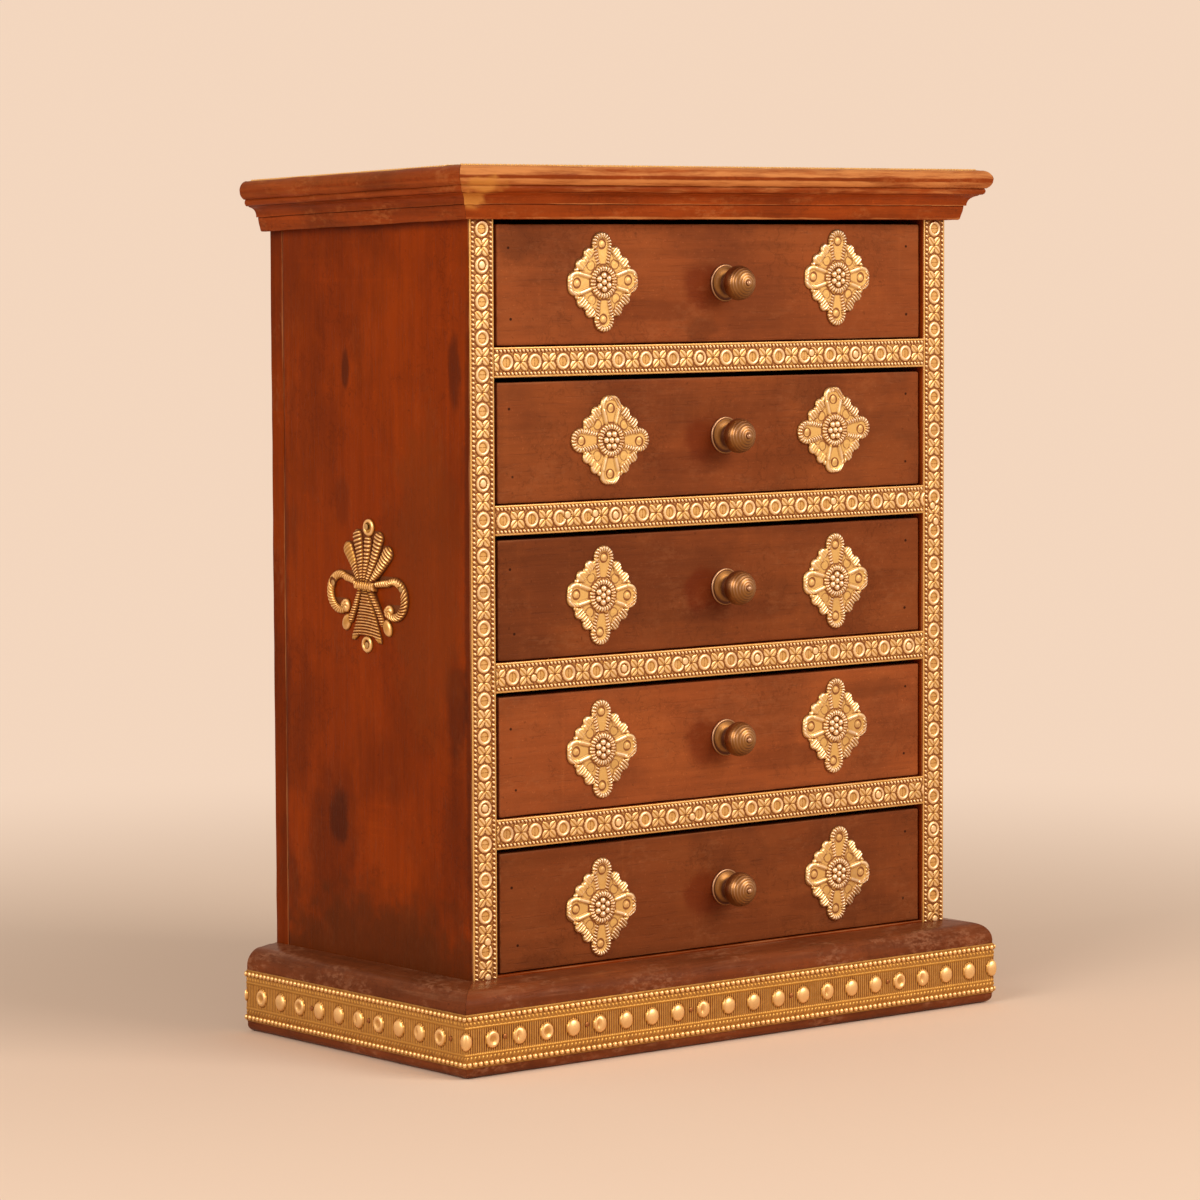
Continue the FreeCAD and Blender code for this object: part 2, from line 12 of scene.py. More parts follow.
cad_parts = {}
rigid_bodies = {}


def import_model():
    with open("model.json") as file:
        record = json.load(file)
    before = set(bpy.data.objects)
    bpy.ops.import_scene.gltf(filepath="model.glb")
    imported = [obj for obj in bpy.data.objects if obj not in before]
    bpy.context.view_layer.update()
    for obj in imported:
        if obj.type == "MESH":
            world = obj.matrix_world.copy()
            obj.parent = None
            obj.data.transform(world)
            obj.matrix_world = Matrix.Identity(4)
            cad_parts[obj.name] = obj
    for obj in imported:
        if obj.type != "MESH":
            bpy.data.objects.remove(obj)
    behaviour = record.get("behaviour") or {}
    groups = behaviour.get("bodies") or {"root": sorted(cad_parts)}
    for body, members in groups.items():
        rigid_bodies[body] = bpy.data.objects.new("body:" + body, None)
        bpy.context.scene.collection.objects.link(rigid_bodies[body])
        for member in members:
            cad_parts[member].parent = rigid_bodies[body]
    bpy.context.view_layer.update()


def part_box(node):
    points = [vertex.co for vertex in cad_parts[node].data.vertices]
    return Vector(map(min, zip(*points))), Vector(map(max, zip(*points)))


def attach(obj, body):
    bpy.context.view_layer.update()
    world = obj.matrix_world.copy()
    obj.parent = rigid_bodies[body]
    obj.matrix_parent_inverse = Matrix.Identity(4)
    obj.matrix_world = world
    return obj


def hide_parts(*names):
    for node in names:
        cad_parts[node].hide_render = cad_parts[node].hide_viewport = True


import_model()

bl_info = {
    "name": "Brass-trimmed drawer chest",
    "version": (1, 0, 0),
    "blender": (4, 5, 0),
    "location": "View3D > Sidebar > Chest",
    "description": "Dresses the packed frame of a small chest of drawers in worn wood and embossed brass",
    "category": "Object",
}

MM = 0.001
DRAWERS = range(1, 6)


def corners(node):
    """Lowest and highest corner of a CAD node, in millimetres."""
    low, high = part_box(node)
    return np.array(low) / MM, np.array(high) / MM


def centre(node):
    """Middle of a CAD node's box, in millimetres."""
    return sum(corners(node)) / 2


SIDE_LOW, SIDE_HIGH = corners("right_side_panel")
BACK_LOW, BACK_HIGH = corners("back_panel")
PLINTH_LOW, PLINTH_HIGH = corners("plinth_front")
CORNICE_LOW, CORNICE_HIGH = corners("cornice_front")
FRONT_Y = SIDE_LOW[1]
BACK_Y = BACK_HIGH[1]
HALF_WIDTH = SIDE_HIGH[0]
TOP_SLOPE = (SIDE_HIGH[2] - BACK_HIGH[2]) / (BACK_LOW[1] - FRONT_Y)
CORNICE_FOOT = CORNICE_LOW[2]
CORNICE_HEIGHT = 17.4
TOP_UNDER = SIDE_HIGH[2] - CORNICE_FOOT
LOZENGE_WIDE_HALF = 15.0
LOZENGE_TALL_HALF = 16.7
STRIP_ROPE = 3.85
PLINTH_BEADS = 7.75


def turned(a, b, angle):
    """Flat coordinates turned by an angle."""
    c, s = math.cos(angle), math.sin(angle)
    return a * c - b * s, a * s + b * c


def leaned(points):
    """Points of the top, leaned towards the back and trimmed flush with it."""
    y, z = turned(points[:, 1] - FRONT_Y, points[:, 2] - CORNICE_FOOT, -math.atan(TOP_SLOPE))
    return np.stack([points[:, 0], np.minimum(FRONT_Y + y, BACK_Y), CORNICE_FOOT + z], 1)


def under_top(points):
    """Points of a board that ends under the leaning top."""
    level = SIDE_HIGH[2] - TOP_SLOPE * (points[:, 1] - FRONT_Y)
    return np.stack([points[:, 0], points[:, 1], np.minimum(points[:, 2], level)], 1)


# Sizes and colours that a user would change

def length_prop(name, description, default):
    """Length given in millimetres, kept in metres."""
    return FloatProperty(name=name, description=description, default=default * MM, min=0.0, unit="LENGTH")


def colour_prop(name, description, default):
    """Linear colour."""
    return FloatVectorProperty(name=name, description=description, default=default, size=3,
                               min=0.0, max=1.0, subtype="COLOR")


class ChestSizes(bpy.types.PropertyGroup):
    """Sizes of the ornament and of the wear"""
    ring_pitch: length_prop("Ring pitch", "From ring to ring along the narrow brass strips", 12.2)
    ring_radius: length_prop("Ring radius", "Middle of a ring's wall on the narrow strips", 2.25)
    dome_pitch: length_prop("Dome pitch", "From dome to dome along the plinth strip", 11.63)
    dome_width: length_prop("Dome width", "Half width of a dome on the plinth strip", 2.85)
    edge_round: length_prop("Edge rounding", "Worn rounding of the boards' edges", 0.7)
    knob_radius: length_prop("Knob radius", "Widest radius of a knob's head", 6.1)
    knob_turns: IntProperty(name="Knob segments", description="Segments round a turned knob",
                            default=72, min=12)


class ChestColours(bpy.types.PropertyGroup):
    """Main colours of the finishes, linear"""
    side_wood: colour_prop("Side wood", "Oiled boards of the two sides", (0.234, 0.0296, 0.0004))
    front_wood: colour_prop("Drawer wood", "Drawer fronts", (0.300, 0.072, 0.019))
    cornice_wood: colour_prop("Cornice wood", "Cornice moulding", (0.275, 0.045, 0.006))
    plinth_wood: colour_prop("Plinth wood", "Plinth moulding", (0.180, 0.042, 0.012))
    inner_wood: colour_prop("Inner wood", "Bare wood of the drawer boxes", (0.420, 0.190, 0.080))
    strip_brass: colour_prop("Strip brass", "Embossed strips", (1.000, 0.730, 0.420))
    plinth_brass: colour_prop("Plinth brass", "Domed strip round the plinth", (0.950, 0.632, 0.285))
    mount_brass: colour_prop("Mount brass", "Lozenge mounts of the drawers", (1.000, 0.820, 0.600))
    pin_brass: colour_prop("Pin brass", "Pins of the drawer mounts", (0.820, 0.540, 0.240))
    plume_bronze: colour_prop("Plume bronze", "Plume mounts of the sides", (1.000, 0.650, 0.300))
    knob_bronze: colour_prop("Knob bronze", "Turned knobs", (0.500, 0.292, 0.172))
    floor: colour_prop("Floor", "Plain pale floor and surroundings", (0.900, 0.675, 0.515))


class ChestStage(bpy.types.PropertyGroup):
    """Camera and light"""
    azimuth: FloatProperty(name="Azimuth", description="Camera's turn round the chest",
                           default=math.radians(-39.142), subtype="ANGLE")
    elevation: FloatProperty(name="Elevation", description="Camera's height above the horizon",
                             default=math.radians(4.422), subtype="ANGLE")
    roll: FloatProperty(name="Roll", description="Camera's tilt",
                        default=math.radians(-0.224), subtype="ANGLE")
    distance: length_prop("Distance", "Camera to the middle of the chest", 1630.8)
    focal: FloatProperty(name="Lens", description="Focal length on a 36 mm sensor", default=136.054, min=1.0)
    key_watts: FloatProperty(name="Right light", description="Power of the large soft light on the front",
                             default=15.5, unit="POWER")
    fill_watts: FloatProperty(name="Left light", description="Power of the large soft light on the left side",
                              default=12.0, unit="POWER")
    ambient: FloatProperty(name="Ambient", description="Strength of the even light all round", default=0.42)


# Finishes: procedural materials written as sums on sockets

class Wire:
    """An output socket of a finish. Sums on wires add Math nodes."""

    def __init__(self, finish, socket):
        self.finish = finish
        self.socket = socket

    def sum(self, operation, *values):
        return self.finish.node("ShaderNodeMath", {"operation": operation}, dict(enumerate(values)))

    def __add__(self, other):
        return self.sum("ADD", self, other)

    __radd__ = __add__

    def __sub__(self, other):
        return self.sum("SUBTRACT", self, other)

    def __rsub__(self, other):
        return self.sum("SUBTRACT", other, self)

    def __mul__(self, other):
        return self.sum("MULTIPLY", self, other)

    __rmul__ = __mul__


class Finish:
    """Node tree of one material or of the world."""

    def __init__(self, owner):
        self.owner = owner
        owner.use_nodes = True
        self.tree = owner.node_tree
        self.tree.nodes.clear()

    def node(self, kind, settings=None, sockets=None, output=0):
        """Any node: its type, its settings, and the values or wires of its sockets."""
        made = self.tree.nodes.new(kind)
        for key, value in (settings or {}).items():
            setattr(made, key, value)
        for key, value in (sockets or {}).items():
            if isinstance(value, Wire):
                self.tree.links.new(value.socket, made.inputs[key])
            else:
                made.inputs[key].default_value = value
        return Wire(self, made.outputs[output]) if made.outputs else None

    def place(self, stretch=(1, 1, 1), shift=(0, 0, 0)):
        """Object coordinates, stretched and shifted."""
        where = self.node("ShaderNodeTexCoord", output="Object")
        return self.node("ShaderNodeMapping", {}, {"Vector": where, "Scale": stretch, "Location": shift})

    def noise(self, scale, stretch=(1, 1, 1), shift=(0, 0, 0), detail=3.0, rough=0.55, warp=0.0):
        """Noise with about this many patches to the metre."""
        return self.node("ShaderNodeTexNoise", {}, {
            "Vector": self.place(stretch, shift), "Scale": scale, "Detail": detail,
            "Roughness": rough, "Distortion": warp})

    def attribute(self, name):
        """Value that the mesh holds at each point."""
        return self.node("ShaderNodeAttribute", {"attribute_name": name}, output="Fac")

    def step(self, value, low, high):
        """Smooth step of a wire from one level to another."""
        return self.node("ShaderNodeMapRange", {"interpolation_type": "SMOOTHSTEP"}, {
            "Value": value, "From Min": low, "From Max": high})

    def mix(self, share, first, second, blend="MIX"):
        """Colour mix of two colours or wires."""
        pick = {0: share}
        for key, value in ((6, first), (7, second)):
            pick[key] = value if isinstance(value, Wire) else (*value, 1.0)
        return self.node("ShaderNodeMix", {"data_type": "RGBA", "blend_type": blend}, pick, output=2)

    def spot(self, middle, reach):
        """Soft patch round a point, in millimetres, with a ragged edge."""
        where = self.place()
        offset = self.node("ShaderNodeVectorMath", {"operation": "SUBTRACT"},
                           {0: where, 1: [value * MM for value in middle]})
        scaled = self.node("ShaderNodeVectorMath", {"operation": "DIVIDE"},
                           {0: offset, 1: [value * MM for value in reach]})
        away = self.node("ShaderNodeVectorMath", {"operation": "LENGTH"}, {0: scaled}, output="Value")
        ragged = away + (self.noise(120, detail=4.0) - 0.5) * 0.7
        return self.step(ragged, 1.0, 0.35)

    def bump(self, height, distance, normal=None):
        """Bumped normal, with its depth in millimetres."""
        sockets = {"Height": height, "Distance": distance * MM, "Strength": 1.0}
        if normal is not None:
            sockets["Normal"] = normal
        return self.node("ShaderNodeBump", {}, sockets)

    def surface(self, **sockets):
        """Principled surface with the given sockets, their spaces written as underscores."""
        named = {key.replace("_", " "): value for key, value in sockets.items()}
        shader = self.node("ShaderNodeBsdfPrincipled", {}, named)
        self.node("ShaderNodeOutputMaterial", {}, {"Surface": shader})
        return self.owner

    def background(self):
        """One for rays that show the surroundings: camera, glossy and transmission rays."""
        seen = [self.node("ShaderNodeLightPath", output=f"Is {kind} Ray")
                for kind in ("Camera", "Glossy", "Transmission")]
        total = seen[0] + seen[1] + seen[2]
        return total.sum("MINIMUM", total, 1.0)


def shade(colour, factor):
    """Colour made lighter or darker."""
    return tuple(min(1.0, value * factor) for value in colour)


def wood(name, colour, along, shift=0.0, figure=1.0, gloss=0.36, worn=(0.52, 0.22, 0.085), wear=1.0,
         spots=(), dust=0.12):
    """Old oiled hardwood with its grain along one axis, rubbed on its edges, with painted shade in its
    creases and dirt at its mitre joints.
    """
    f = Finish(bpy.data.materials.new(name))
    colour = tuple(colour)
    off = (shift, shift * 1.7, shift * 0.6)

    def grain(share, axis=along):
        return tuple(share if index == axis else 1.0 for index in range(3))

    def over(share, tone, blend="MIX"):
        """One more layer over the wood."""
        nonlocal body
        body = f.mix(share, body, tone, blend)

    edge, dirt, bare = (f.attribute(key) for key in ("edge", "dirt", "bare"))
    mottle = f.noise(75, shift=off, detail=6.0, rough=0.65)

    # Grain
    streak = f.noise(300, grain(0.045), off, detail=4.0, rough=0.6, warp=0.25)
    broad = f.noise(42, grain(0.16), off, detail=4.0, rough=0.6, warp=0.7)
    fibre = f.noise(1900, grain(0.03), off, detail=2.0)
    pores = f.step(f.noise(1300, grain(0.07), off, detail=2.0), 0.60, 0.70)
    deep, pale = shade(colour, 1 - 0.22 * figure), shade(colour, 1 + 0.18 * figure)
    body = f.mix(f.step(streak, 0.30, 0.72), deep, pale)

    # Uneven stain and smoke
    cloud = f.noise(24, grain(0.6), off, detail=4.0, warp=0.4)
    smoke = f.noise(32, grain(0.7), tuple(value + 5.3 for value in off), detail=5.0, rough=0.6)
    specks = f.step(f.noise(1100, shift=off, detail=1.0), 0.68, 0.76)
    darkening = f.noise(24, shift=off, detail=5.0, rough=0.6)
    over(f.step(cloud, 0.42, 0.64) * 0.55, (1.28, 1.38, 1.30), "MULTIPLY")
    over(f.step(smoke, 0.44, 0.64) * 0.62, (0.60, 0.62, 0.74), "MULTIPLY")
    over(specks * 0.30, (1.9, 2.2, 2.6), "MULTIPLY")
    over(f.step(broad, 0.47, 0.70) * (0.5 * figure), shade(colour, 0.52))
    over(f.step(fibre, 0.35, 0.70) * 0.10, shade(colour, 1.45))
    over(f.step(mottle, 0.50, 0.74) * 0.28, (colour[0] * 1.2, colour[1] * 1.4, colour[2] * 1.6))
    over(pores * (0.08 + 0.22 * figure), shade(colour, 0.40))
    over(f.step(darkening, 0.50, 0.72) * 0.42, shade(colour, 0.58))

    # Crazed lacquer, pits and rubs across the grain
    craze = f.noise(150, shift=off, detail=4.0, rough=0.6, warp=0.3) - 0.5
    cracks = (1 - f.step(craze * craze, 0.00002, 0.0004)) * f.step(darkening, 0.44, 0.60)
    pits = f.step(f.noise(520, shift=off, detail=2.0), 0.70, 0.76)
    rubs = f.step(f.noise(330, grain(0.04, (along + 2) % 3), off, rough=0.6), 0.60, 0.74)
    over(cracks * 0.34, shade(colour, 0.42))
    over(pits * 0.45, shade(colour, 0.35))
    over(rubs * 0.16, (1.5, 1.6, 1.5), "MULTIPLY")

    # Spots, painted shade in creases with dirt at mitre joints, rubbed edges, dust and bare wood
    for middle, reach, tone, strength in spots:
        over(f.step(f.spot(middle, reach) * (0.4 + mottle * 1.2), 0.0, 1.0) * strength, tone)
    # Painted shade: darkens the creases of the mouldings; the mitre joints get real dirt
    recess_darkening = f.step(dirt + (mottle - 0.5) * 0.7, 0.45, 0.95)
    fray = f.noise(260, grain(0.09), off, detail=5.0, rough=0.7) - 0.5
    rubbed = f.step(edge + fray * 1.6, 0.62, 1.15)
    scuffs = f.step(f.noise(75, grain(0.5), off, detail=6.0, rough=0.7), 0.48, 0.64)
    grit = f.step(f.noise(620, grain(0.5), off, rough=0.7), 0.42, 0.62)
    over(recess_darkening * 0.8, shade(colour, 0.22))
    over(rubbed * (0.62 * wear), worn)
    over(scuffs * grit * dust, worn)
    over(f.step(bare * (0.4 + mottle * 1.2), 0.15, 0.75) * 0.85, (0.62, 0.25, 0.05))

    rough = gloss + (mottle - 0.5) * 0.22 + rubbed * 0.18 + recess_darkening * 0.2 + pores * 0.08
    normal = f.bump(fibre * 0.35 + streak * 0.35 - pores * 0.9, 0.06)
    normal = f.bump(f.noise(90, shift=off, detail=5.0, rough=0.6), 0.22, normal)
    return f.surface(Base_Color=body, Roughness=rough, Normal=normal, Specular_IOR_Level=0.05)


def metal(name, bright, age=1.0, roughness=0.36, pitted=0.05):
    """Aged yellow metal: bright on the ridges, orange on the flats, brown in the recesses."""
    f = Finish(bpy.data.materials.new(name))
    bright = tuple(bright)
    flat, aged = (tuple(value * share * age for value, share in zip(bright, shares))
                  for shares in ((0.70, 0.54, 0.25), (0.22, 0.085, 0.025)))
    ridge = f.attribute("ridge")
    patina = f.noise(55, detail=5.0, rough=0.65)
    speck = f.noise(420, detail=4.0, rough=0.6)
    fine = f.noise(2600, detail=2.0)
    level = ridge + (speck - 0.5) * 0.26 + (patina - 0.5) * 0.22
    tone = f.mix(f.step(level, 0.06, 0.44), aged, flat)
    tone = f.mix(f.step(level, 0.48, 0.88), tone, bright)
    tone = f.mix(f.step(patina, 0.50, 0.74) * 0.28, tone, aged)
    clean = f.step(level, 0.10, 0.55)
    rough = roughness + (1 - clean) * 0.22 + (speck - 0.5) * 0.16
    normal = f.bump(speck * 0.7 + fine * 0.3, pitted)
    return f.surface(Base_Color=tone, Roughness=rough, Metallic=0.55 + clean * 0.42, Normal=normal)


# Meshes

def lattice(points, scale, seed):
    """Smooth random values from -1 to 1 at points given in millimetres."""
    cells = np.asarray(points, float) * scale + seed * 17.31
    base = np.floor(cells).astype(np.int64)
    part = cells - base
    part = part * part * (3 - 2 * part)
    total = np.zeros(len(cells))
    for corner in np.ndindex(2, 2, 2):
        spot = (base + corner) & 0xFFFF
        mixed = (spot[:, 0] * 73856093) ^ (spot[:, 1] * 19349663)
        mixed = mixed ^ (spot[:, 2] * 83492791) ^ (seed * 2654435)
        mixed = ((mixed ^ (mixed >> 15)) * 2246822519) & 0xFFFFFFFF
        mixed = ((mixed ^ (mixed >> 13)) * 3266489917) & 0xFFFFFFFF
        value = ((mixed ^ (mixed >> 16)) & 0xFFFF) / 32767.5 - 1
        weight = np.prod(np.where(np.array(corner) == 1, part, 1 - part), axis=1)
        total += value * weight
    return total


def plain_mesh(name, points, faces, attributes=None, sharp=None):
    """Mesh from points in millimetres, shaded smooth, with a value per point for each attribute."""
    mesh = bpy.data.meshes.new(name)
    mesh.from_pydata((np.asarray(points) * MM).tolist(), [], [list(face) for face in faces])
    for key, values in (attributes or {}).items():
        mesh.attributes.new(key, "FLOAT", "POINT").data.foreach_set("value", np.asarray(values, np.float32))
    mesh.shade_smooth()
    if sharp is not None:
        mesh.set_sharp_from_angle(angle=math.radians(sharp))
    return mesh


def grid_faces(index):
    """Quads between the neighbours in a grid of point numbers."""
    return np.stack([index[:-1, :-1], index[1:, :-1], index[1:, 1:], index[:-1, 1:]], -1).reshape(-1, 4)


def spun(radii, levels, turns):
    """Rings of points about the upright axis, and the quads between them."""
    points = np.stack([np.outer(radii, np.cos(turns)), np.outer(radii, np.sin(turns)),
                       np.repeat(np.asarray(levels)[:, None], len(turns), 1)], -1).reshape(-1, 3)
    return points, ring_faces(len(radii), len(turns))


def full_turn(count):
    """Even angles all the way round."""
    return 2 * math.pi * np.arange(count) / count


def ring_faces(rows, around):
    """Quads between closed rings of points that follow each other."""
    index = np.arange(rows * around).reshape(rows, around)
    after = np.roll(index, -1, axis=1)
    return np.stack([index[:-1], after[:-1], after[1:], index[1:]], -1).reshape(-1, 4).tolist()


def domed_head(rings, around, tip):
    """Closed head from rings of (radius, height, ridge), from its foot to a tip of (height, ridge)."""
    radii, levels, bright = np.array(rings).T
    points, faces = spun(radii, levels, full_turn(around))
    last, end = len(points) - around, len(points)
    faces += [(last + k, last + (k + 1) % around, end) for k in range(around)]
    faces.append(tuple(reversed(range(around))))
    return np.append(points, [(0, 0, tip[0])], axis=0), faces, np.append(np.repeat(bright, around), tip[1])


@contextmanager
def opened(mesh):
    """Mesh opened for work on its faces, and written back at the end."""
    work = bmesh.new()
    work.from_mesh(mesh)
    yield work
    work.to_mesh(mesh)
    work.free()


def outward(mesh):
    """Weld a closed mesh and turn its faces outwards."""
    with opened(mesh) as work:
        bmesh.ops.remove_doubles(work, verts=work.verts, dist=1e-7)
        bmesh.ops.recalc_face_normals(work, faces=work.faces)
    return mesh


def piece(name, mesh, finish, body, nodes):
    """Finished piece: rides on its body and stands for its CAD nodes."""
    made = bpy.data.objects.new(name, mesh)
    bpy.context.scene.collection.objects.link(made)
    mesh.materials.clear()
    mesh.materials.append(finish)
    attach(made, body)
    if nodes:
        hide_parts(*nodes)


def joined(meshes):
    """One mesh from several, with their attributes."""
    result, *others = meshes
    with opened(result) as work:
        for mesh in others:
            work.from_mesh(mesh)
    for mesh in others:
        bpy.data.meshes.remove(mesh)
    return result


def board(name, low, high, rounding, seed, step, fit=np.asarray):
    """Board with worn, uneven edges between two corners in millimetres, then fitted."""
    low = np.asarray(low, float)
    high = np.asarray(high, float)
    sag = 0.1
    lines = []
    for start, end in zip(low, high):
        near = [0, rounding * 0.35, rounding, rounding + 0.7, rounding + 2.2]
        near = [value for value in near if value < (end - start) / 2 - 0.05]
        first, last = start + near[-1], end - near[-1]
        count = max(1, int(round((last - first) / step)))
        inner = list(np.linspace(first, last, count + 1)[1:-1])
        lines.append(np.array([start + v for v in near] + inner + [end - v for v in reversed(near)]))
    sizes = [len(line) for line in lines]
    index = np.indices(sizes)
    skin = np.zeros(sizes, bool)
    for axis, size in enumerate(sizes):
        skin |= (index[axis] == 0) | (index[axis] == size - 1)
    number = np.full(sizes, -1)
    number[skin] = np.arange(skin.sum())
    points = np.stack([lines[axis][index[axis][skin]] for axis in range(3)], 1)
    faces = []
    for axis in range(3):
        for side, end in ((0, 0), (1, sizes[axis] - 1)):
            quads = grid_faces(np.take(number, end, axis=axis))
            if (axis == 1) == (side == 1):
                quads = quads[:, ::-1]
            faces += quads.tolist()
    gaps = np.sort(np.minimum(points - low, high - points), axis=1)
    edge = np.exp(-gaps[:, 1] / 1.1)
    uneven = 0.5 + 0.5 * lattice(points, 0.11, seed) + 0.25 * lattice(points, 0.45, seed + 3)
    radius = np.clip(rounding * (0.35 + 0.9 * uneven), 0.12, rounding * 1.6)[:, None]
    core = np.clip(points, low + radius, high - radius)
    away = points - core
    away /= np.maximum(np.linalg.norm(away, axis=1, keepdims=True), 1e-9)
    shaped = core + away * radius
    shaped -= away * (sag * (0.5 + 0.5 * lattice(points, 0.05, seed + 7)))[:, None]
    none = np.zeros(len(points))
    return plain_mesh(name, fit(shaped), faces, {"edge": edge, "dirt": none, "bare": none})


def worn_board(name, finish, rounding, seed, step=9.0, body="carcass", fit=np.asarray):
    """Board with worn edges that stands for the CAD node of its name."""
    mesh = board(name, *corners(name), rounding, seed, step, fit)
    piece(f"{name}_worn", mesh, finish, body, [name])


def sweep(name, profile, run, seed, chips=(), fit=np.asarray):
    """Moulding: a closed profile of (out, up, edge, dirt) carried along a mitred run, then fitted."""
    outline = np.array(profile)
    after = np.roll(outline[:, :2], -1, axis=0) - np.roll(outline[:, :2], 1, axis=0)
    normal = np.stack([after[:, 1], -after[:, 0]], 1)
    normal /= np.maximum(np.linalg.norm(normal, axis=1, keepdims=True), 1e-9)
    size = len(outline)
    even = np.linspace(0, 1, run["stations"])[1:-1]
    share = np.sort(np.concatenate([[0.0, 0.004, 0.012], even, [0.988, 0.996, 1.0]]))
    count = len(share)
    out, up, edge, dirt = np.tile(outline, (count, 1)).T
    where = np.repeat(share, size)
    flat = run["place"](out, up, where)
    exposed = (np.abs(out) > 0.01).astype(float)
    rub = np.clip(0.5 + 0.7 * lattice(flat, 0.09, seed) + 0.4 * lattice(flat, 0.4, seed + 1), 0, 1.5)
    inward = exposed * (0.22 * edge * rub + 0.05 * (1 + lattice(flat, 0.3, seed + 2)))
    bare = np.zeros(len(flat))
    for middle, reach, depth in chips:
        away = np.linalg.norm((flat - np.array(middle)) / np.array(reach), axis=1)
        bite = np.clip(1.15 - away + 0.3 * lattice(flat, 0.5, seed + 5), 0, 1) * exposed
        inward += depth * bite
        bare = np.maximum(bare, bite)
    slide = np.tile(normal, (count, 1)) * inward[:, None]
    points = run["place"](np.maximum(out - slide[:, 0], 0), up - slide[:, 1], where)
    ends = np.minimum(where, 1 - where) * run["length"]
    # Dirt along the mitre joints, added to the painted shade in the profile's creases
    seam = 0.45 * np.exp(-ends / 0.5) * run["mitred"](where)
    ends = [tuple(range(size)), tuple(range((count - 1) * size, count * size))]
    values = {"edge": edge, "dirt": np.clip(dirt + seam, 0, 1), "bare": bare}
    return outward(plain_mesh(name, fit(points), ring_faces(count, size) + ends, values, 38))


def mitred_runs(stations_front, stations_side):
    """Ways to lay a profile along the front, left and right of the carcass."""
    hair = 0.06

    def front(out, up, share):
        return np.stack([(2 * share - 1) * (HALF_WIDTH + out - hair), FRONT_Y - out, up], 1)

    def side(sign):
        def lay(out, up, share):
            start = FRONT_Y - out + hair
            return np.stack([sign * (HALF_WIDTH + out), start + share * (BACK_Y - start), up], 1)
        return lay

    runs = {"front": {"place": front, "stations": stations_front, "length": 2 * HALF_WIDTH,
                      "mitred": np.ones_like}}
    for name, sign in (("left", -1), ("right", 1)):
        runs[name] = {"place": side(sign), "stations": stations_side, "length": BACK_Y - FRONT_Y,
                      "mitred": lambda share: (share < 0.5).astype(float)}
    return runs


def arc(middle, radius, first, last, steps, edge=0.0, dirt=0.0):
    """Profile points on an arc, between angles in degrees."""
    turns = np.radians(np.linspace(first, last, steps + 1))
    return [(middle[0] + radius * math.cos(t), middle[1] + radius * math.sin(t), edge, dirt) for t in turns]


def line(start, end, steps, edge=0.0, dirt=0.0):
    """Points after start up to end."""
    across, up = (end[0] - start[0]) / steps, (end[1] - start[1]) / steps
    return [(start[0] + across * k, start[1] + up * k, edge, dirt) for k in range(1, steps + 1)]


# Embossed and cast reliefs: heights in millimetres over a flat sheet

def crest(distance, half):
    """Rounded ridge over a distance from its middle line."""
    return np.sqrt(np.clip(1 - (distance / half) ** 2, 0, 1))


def bell(distance, half):
    """Soft bump over a distance from its middle."""
    return np.exp(-((distance / half) ** 2))


def ribs(run, spacing):
    """Even waves along a run, from -1 to 1."""
    return np.cos(2 * math.pi * run / spacing)


def rounded_off(height, outline, reach):
    """Height of a casting, falling towards its outline."""
    return height * (1 - 0.6 * np.exp(-np.clip(-outline, 0, None) / reach))


def bar(a, b, start, end):
    """Distance from a bar's middle line, run along it in mm and as a share, and signed side."""
    dx, dy = end[0] - start[0], end[1] - start[1]
    size = math.hypot(dx, dy)
    run = ((a - start[0]) * dx + (b - start[1]) * dy) / size
    held = np.clip(run, 0, size)
    away = np.hypot(a - start[0] - held * dx / size, b - start[1] - held * dy / size)
    side = ((a - start[0]) * dy - (b - start[1]) * dx) / size
    return away, run, held / size, side


def blurred(grid, reach):
    """Box blur along both ways of a grid."""
    for axis in (0, 1):
        pads = [(0, 0), (0, 0)]
        pads[axis] = (reach, reach)
        wide = np.pad(grid, pads, mode="edge")
        total = np.cumsum(wide, axis=axis)
        total = np.insert(total, 0, 0, axis=axis)
        high = np.take(total, range(2 * reach + 1, total.shape[axis]), axis=axis)
        low = np.take(total, range(0, total.shape[axis] - 2 * reach - 1), axis=axis)
        grid = (high - low) / (2 * reach + 1)
    return grid


def ridges(height, reach, span):
    """How far each point stands above its surroundings, 0 to 1."""
    return np.clip(0.5 + (height - blurred(height, reach)) / span, 0, 1)


class Relief:
    """Heights over a sheet, with a second value at each point: its tone, or its darkening by painted shade
    and grime.
    """

    def __init__(self, height, value):
        self.height = height
        self.value = value

    def lift(self, top):
        """Raise what lies lower."""
        self.height = np.maximum(self.height, top)

    def mark(self, value):
        """Raise the second value where it is lower."""
        self.value = np.maximum(self.value, value)

    def put(self, where, height=None, value=None):
        """Set the heights, the values or both in a part of the sheet."""
        if height is not None:
            self.height = np.where(where, height, self.height)
        if value is not None:
            self.value = np.where(where, value, self.value)


